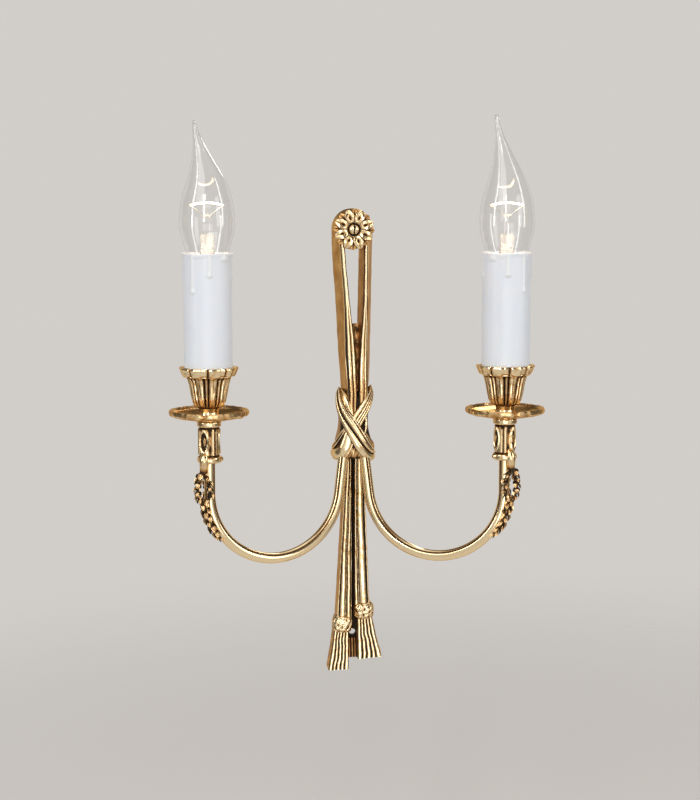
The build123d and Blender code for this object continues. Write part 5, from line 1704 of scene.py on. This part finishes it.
@dataclass
class Lamp:
    """One clear bent-tip lamp: glass, mount, leads and glowing filament."""

    side: Side
    axis_x: float
    axis_depth: float
    foot: float
    tip_z: float
    tube_top: float
    glass_t: float = 0.6
    neck_r: float = 7.6
    bend_up: float = 55.0
    tip_bend: float = 7.4
    belly_r: float = 17.5
    stem_top: float = 28.0
    filament_up: float = 45.5
    filament_half: float = 9.8
    filament_arch: float = 1.6
    lead_d: float = 0.6
    bead_up: float = 39.4
    bead_half: float = 2.9
    coil_turns: int = 46
    coil_r: float = 0.42
    coil_wire_d: float = 0.28
    glow_power: float = 0.05
    glow_size: float = 0.008
    glow_colour: Colour = (1.0, 0.62, 0.30)

    def place(self, points: Array) -> Array:
        """Points about the lamp's axis, with the neck's foot at level 0, moved to their place."""
        return points + np.array([self.side.value * self.axis_x, -self.axis_depth, self.foot])

    def glass(self) -> None:
        """The bulb: circles along an axis that bends to the left near the tip, inside and outside the wall."""
        bend = self.bend_up
        tip = self.tip_z - self.foot - bend
        mouth = self.tube_top - self.foot
        levels = [0, 5, 9, mouth - 3, mouth + 2, 26, 31, 36, 42, 49, bend]
        radii = [self.neck_r, self.neck_r, 9.3, 12.1, 14.2, 16.3, 17.3, self.belly_r, 17.2, 16.3, 14.6]
        levels += [bend + tip * s for s in (0.14, 0.28, 0.42, 0.56, 0.7, 0.84, 0.93, 0.975, 1.0)]
        radii += [12.4, 9.9, 7.4, 5.2, 3.4, 2.1, 1.55, 1.75, 1.1]
        share = np.linspace(0, 1, 150)
        stations = np.linspace(0, 1, len(levels))
        level = smooth_curve(stations, levels, share)
        radius = np.maximum(smooth_curve(stations, radii, share), 0.3)
        lean = -self.tip_bend * smooth_step(0.02, 1.15, (level - bend) / tip) / smooth_step(0.02, 1.15, 1.0)
        shells = []
        for inset in (0.0, self.glass_t):
            drawn = np.maximum(radius - inset, radius * 0.45)[:, None] * circle(72).T[:, None]
            height = level - inset * smooth_step(0.9, 1.0, share) * 2
            rings = np.broadcast_arrays(lean[:, None] + drawn[0], drawn[1], height[:, None])
            shells.append(np.stack(rings, -1))
        skin = Skin()
        skin.tube(self.place(np.concatenate([shells[1][::-1], shells[0]])))
        label = self.side.label
        skin.piece(f"bulb_{label}", BULB_GLASS, f"lamp_{label}", [f"lamp_glass_{label}"])

    def mount(self) -> None:
        """The glass mount: a flared tube pinched flat at its top; its section goes from round to oblong."""
        levels = np.array([0, 1.0, 1.4, 6, 14, 20, 22, 26.5, self.stem_top])
        wide = np.array([6.9, 6.9, 5.8, 5.4, 5.0, 4.5, 4.2, 4.5, 4.1])
        thick = np.array([6.9, 6.9, 5.4, 4.9, 4.0, 2.6, 1.6, 1.25, 1.0])
        stations = np.linspace(0, 1, len(levels))
        share = np.linspace(0, 1, 60)
        z, a, b = (np.interp(share, stations, v) for v in (levels, wide, thick))
        power = 1 - 0.45 * smooth_step(16, 22, z)[:, None]
        c, s = circle(48).T
        x = a[:, None] * np.sign(c) * np.abs(c) ** power
        y = b[:, None] * np.sign(s) * np.abs(s) ** power
        skin = Skin()
        skin.tube(self.place(np.stack(np.broadcast_arrays(x, y, z[:, None]), -1)))
        reach = np.linspace(-1, 1, 24)
        bead = np.stack([self.bead_half * reach, 0 * reach, self.bead_up + 0 * reach], -1)
        self.wire(skin, bead, 1.5 * (1 - 0.5 * reach**6), 16, 0.0)
        label = self.side.label
        skin.piece(f"lamp_mount_{label}", MOUNT_GLASS, f"lamp_{label}", [f"lamp_stem_{label}"])

    def wire(self, skin: Skin, path: Array, thick: Array | float, sides: int, patina: Array | float) -> None:
        """A round wire: a circle carried along a path, set by a nearly level direction that is never along it.

        Args:
            skin: The skin that it is added to.
            path: [n, 3] points of its middle.
            thick: Its diameter, or [n] diameters.
            sides: How many sides its circle has.
            patina: A number, or [n] numbers.
        """
        tangent = unit(np.gradient(path, axis=0))
        hint = np.array([0.02, 1.0, 0.01])
        out = unit(hint - tangent * (tangent @ hint)[:, None])
        side = np.cross(tangent, out)
        section = circle(sides)[None] * np.reshape(thick, (-1, 1, 1)) / 2
        shade = np.broadcast_to(np.reshape(patina, (-1, 1)), (len(path), sides))
        skin.tube(self.place(carried(path, side, out, section)), shade)

    def leads(self) -> None:
        """Two leads that rise through the glass bead and slant out to the filament, and a middle support."""
        skin = Skin()
        up, foot = self.filament_up, self.stem_top - 1.5
        rise = up - foot
        straight = [(1.8, foot), (1.8, foot + 0.4 * rise), (2.2, self.bead_up)]
        course = [*straight, (7.6, up - 1.6), (9.6, up - 0.3), (9.9, up + 0.4)]
        x, z = smooth_curve(np.linspace(0, 1, len(course)), course, np.linspace(0, 1, 40)).T
        for way in (-1, 1):
            self.wire(skin, np.stack([way * x, 0 * x, z], -1), self.lead_d, 10, 0.0)
        z = np.linspace(foot, up + self.filament_arch - 0.2, 16)
        self.wire(skin, np.stack([0 * z, 0 * z, z], -1), self.lead_d * 0.8, 8, 0.0)
        label = self.side.label
        skin.piece(f"lamp_lead_wires_{label}", LEAD_WIRE, f"lamp_{label}", [f"lamp_leads_{label}"])

    def filament(self) -> None:
        """The filament: a helix of fine wire along a shallow arch between the leads."""
        t = np.linspace(-1, 1, self.coil_turns * 12 + 1)
        turn = math.pi * self.coil_turns * t
        x = (self.filament_half + 0.5) * t
        z = self.filament_up + 0.45 + self.filament_arch * (1 - t**2) + self.coil_r * np.cos(turn)
        path = np.stack([x, self.coil_r * np.sin(turn), z], -1)
        skin = Skin()
        self.wire(skin, path, self.coil_wire_d, 6, smooth_step(0.8, 1.0, np.abs(t)))
        label = self.side.label
        skin.piece(f"filament_coil_{label}", HOT_WIRE, f"lamp_{label}", [f"lamp_filament_{label}"])

    def glow(self) -> None:
        """A small warm light at the filament."""
        light = bpy.data.lights.new(f"glow_{self.side.label}", "POINT")
        light.energy = self.glow_power
        light.color = self.glow_colour
        light.shadow_soft_size = self.glow_size
        thing = bpy.data.objects.new(light.name, light)
        thing.location = self.place(np.array([0.0, 0.0, self.filament_up + 1.0])) * MM
        thing.visible_transmission = thing.visible_glossy = False
        bpy.context.scene.collection.objects.link(thing)

    def build(self) -> None:
        """Glass, mount, leads, filament and its light."""
        self.glass()
        self.mount()
        self.leads()
        self.filament()
        self.glow()


# The studio


@dataclass(frozen=True)
class SoftLight:
    """A soft rectangular light that is turned to the object's middle, in metres and watts."""

    name: str
    place: tuple[float, float, float]
    size: tuple[float, float]
    power: float

    def build(self) -> None:
        """Adds the light, which the camera doesn't see."""
        light = bpy.data.lights.new(self.name, "AREA")
        light.shape = "RECTANGLE"
        light.size, light.size_y = self.size
        light.energy = self.power
        thing = bpy.data.objects.new(self.name, light)
        thing.location = self.place
        middle = (CAD_LOW + CAD_HIGH) / 2
        thing.rotation_euler = (middle - thing.location).to_track_quat("-Z", "Y").to_euler()
        thing.visible_camera = False
        bpy.context.scene.collection.objects.link(thing)


LIGHTS = (
    SoftLight("key", (-1.1, -1.7, 1.5), (1.4, 1.4), 14.0),
    SoftLight("front", (-0.45, -2.0, 0.75), (0.14, 1.3), 9.0),
    SoftLight("fill", (1.5, -1.4, 0.55), (0.7, 1.3), 6.0),
    SoftLight("strip_left", (-1.3, -0.7, 0.6), (0.22, 1.4), 6.0),
    SoftLight("strip_right", (1.25, -0.55, 0.6), (0.2, 1.4), 5.0),
    SoftLight("low", (0.12, -1.05, -0.40), (0.5, 0.26), 1.0),
    SoftLight("card", (0.0, -2.0, -0.18), (1.5, 0.56), 4.0),
    SoftLight("back", (0.5, 1.2, 1.1), (0.2, 1.2), 3.5),
)


@dataclass
class Studio:
    """Pale floor, pale surroundings, soft lights and the camera, in metres and degrees."""

    azimuth: float = -4.0
    elevation: float = 7.0
    distance: float = 1.105
    aim: tuple[float, float, float] = (-0.0012, 0.0, 0.0220)
    lens: float = 74.25
    floor_gap: float = 0.35
    floor_r: float = 2.6
    floor_middle: tuple[float, float] = (0.2, 0.5)
    floor_fade: tuple[float, float] = (0.1, 1.4)
    floor_pale: Colour = (0.84, 0.81, 0.775)
    pale: Colour = (0.64, 0.615, 0.585)
    dark: Colour = (0.10, 0.09, 0.08)
    bright: Colour = (1.0, 0.98, 0.95)
    diffuse_level: float = 0.55

    def floor(self) -> None:
        """A round floor that fades into the surroundings towards its edge and is clear from below."""
        radius = np.linspace(0.02, self.floor_r / MM, 40)
        level = CAD_LOW.z / MM - self.floor_gap / MM
        skin = Skin()
        numbers = skin.grid(turned(np.stack([radius, level + 0 * radius], -1), 64), 0.0, wrap_v=True)
        skin.close(numbers[0], (0, 0, level))
        mesh = bpy.data.meshes.new("floor")
        mesh.from_pydata((np.concatenate(skin.points) * MM).tolist(), [], skin.faces)
        material, tree = new_material("pale_floor")
        place = tree.node("ShaderNodeTexCoord", output="Object")
        middle = (*self.floor_middle, level * MM)
        far = tree.node("ShaderNodeVectorMath", {"operation": "DISTANCE"}, {0: place, 1: middle}, "Value")
        grain = tree.noise(3.0)
        darker = tuple(c * 0.96 for c in self.floor_pale)
        shade = tree.principled({"Base Color": tree.mix(grain, self.floor_pale, darker), "Roughness": 0.7})
        clear = tree.node("ShaderNodeBsdfTransparent")
        below = tree.node("ShaderNodeNewGeometry", output="Backfacing")
        gone = far.math("MAXIMUM", far.ramp(*self.floor_fade), below)
        tree.surface(tree.node("ShaderNodeMixShader", None, {0: gone, 1: shade, 2: clear}))
        mesh.materials.append(material)
        thing = bpy.data.objects.new("floor", mesh)
        bpy.context.scene.collection.objects.link(thing)

    def world(self) -> None:
        """Pale surroundings, dimmer for diffuse light; metal sees dark sides and a bright patch overhead."""
        world = bpy.data.worlds.new("surroundings")
        world.use_nodes = True
        bpy.context.scene.world = world
        tree = Tree(world.node_tree)
        kinds = ["Is Camera Ray", "Is Glossy Ray", "Is Transmission Ray"]
        camera, glossy, through = (tree.node("ShaderNodeLightPath", output=k) for k in kinds)
        seen = camera.math("MAXIMUM", camera.math("MAXIMUM", camera, glossy), through)
        way = tree.node("ShaderNodeTexCoord", output="Generated")
        height = tree.node("ShaderNodeSeparateXYZ", None, {0: way}, "Z")
        across = tree.node("ShaderNodeSeparateXYZ", None, {0: way}, "X")
        beside = across.math("ABSOLUTE", across, 0.0).ramp(0.74, 0.90)
        sides = tree.mix(beside * 0.92, self.pale, self.dark)
        upper = tree.mix(height.ramp(0.22, 0.5), sides, self.dark)
        colour = tree.mix(glossy, self.pale, tree.mix(height.ramp(0.75, 0.95), upper, self.bright))
        plain = {"Color": (*self.pale, 1.0), "Strength": self.diffuse_level}
        dim = tree.node("ShaderNodeBackground", None, plain)
        shown = tree.node("ShaderNodeBackground", None, {"Color": colour, "Strength": 1.0})
        mixed = tree.node("ShaderNodeMixShader", None, {0: seen, 1: dim, 2: shown})
        tree.node("ShaderNodeOutputWorld", None, {"Surface": mixed})

    def camera(self) -> None:
        """The camera at the photograph's viewing angle."""
        turn, lift = math.radians(self.azimuth), math.radians(self.elevation)
        back = np.array([math.sin(turn) * math.cos(lift), -math.cos(turn) * math.cos(lift), math.sin(lift)])
        data = bpy.data.cameras.new("camera")
        data.lens = self.lens
        thing = bpy.data.objects.new("camera", data)
        thing.location = np.array(self.aim) + back * self.distance
        thing.rotation_euler = (math.pi / 2 - lift, 0.0, turn)
        bpy.context.scene.collection.objects.link(thing)
        bpy.context.scene.camera = thing

    def build(self) -> None:
        """Floor, surroundings, lights and camera."""
        self.floor()
        self.world()
        for light in LIGHTS:
            light.build()
        self.camera()
        bpy.context.scene.view_settings.view_transform = "Standard"


def dress_nodes() -> None:
    """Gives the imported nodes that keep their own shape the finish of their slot."""
    finishes = {finish.slot: finish for finish in NODE_FINISHES}
    for part in frame["record"]["subparts"]:
        node = frame["nodes"][part["node"]]
        finish = finishes.get(part["material_slot"])
        if node.hide_render or finish is None:
            continue
        node.data.materials.clear()
        node.data.materials.append(finish.material())
        LOG.info("%s: dressed in %s", node.name, finish.name)


# Where the first medal of each sleeve lies, from the front outwards in degrees
MEDALS = {Side.LEFT: 33.0, Side.RIGHT: 52.0}


def build_side(side: Side) -> None:
    """Everything on one arm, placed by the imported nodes.

    Args:
        side: Which arm.
    """
    low, high = span(f"candle_tube_{side.label}")
    axis_x = abs(low[0] + high[0]) / 2
    axis_depth = -(low[1] + high[1]) / 2
    arm_low = span(f"arm_{side.label}")[0][2] + Arm.tube_d / 2
    Arm(side, axis_x, axis_depth, arm_low, medal=MEDALS[side]).build()
    pan_foot = span(f"drip_pan_{side.label}")[0][2]
    cup_top = span(f"candle_cup_{side.label}")[1][2]
    CandleHolder(side, axis_x, axis_depth, pan_foot, cup_top).build()
    drips = tuple((-side.value * turn, fall, half) for turn, fall, half in CandleTube.drips)
    CandleTube(side, axis_x, axis_depth, low[2], high[2], drips=drips).build()
    glass_low, glass_high = span(f"lamp_glass_{side.label}")
    Lamp(side, axis_x, axis_depth, glass_low[2], glass_high[2], high[2]).build()


def main() -> None:
    """Builds the light from the wall outwards, then the studio."""
    logging.basicConfig(level=logging.INFO, format="%(name)s %(message)s")
    fixings = next(m for m in frame["record"]["mounts"] if m["name"] == "wall_fixings")
    head_z = fixings["dims"]["spacing_y_mm"] / 2
    RibbonLoop(head_z).build()
    Knot().build()
    Tail(
        Side.LEFT, TAIL_LEFT_ROWS, knob_z=7.5 - head_z,
        skirt_l=31.5, skirt_foot_w=14.5, slant=-0.06, taper=6.2,
    ).build()
    Tail(
        Side.RIGHT, TAIL_RIGHT_ROWS, knob_z=16.5 - head_z,
        skirt_l=33.0, skirt_foot_w=17.0, slant=0.10, taper=3.8,
    ).build()
    TailWeb(-head_z).build()
    Rosette(head_z).build()
    for side in Side:
        build_side(side)
    dress_nodes()
    Studio().build()


if __name__ == "__main__":
    main()
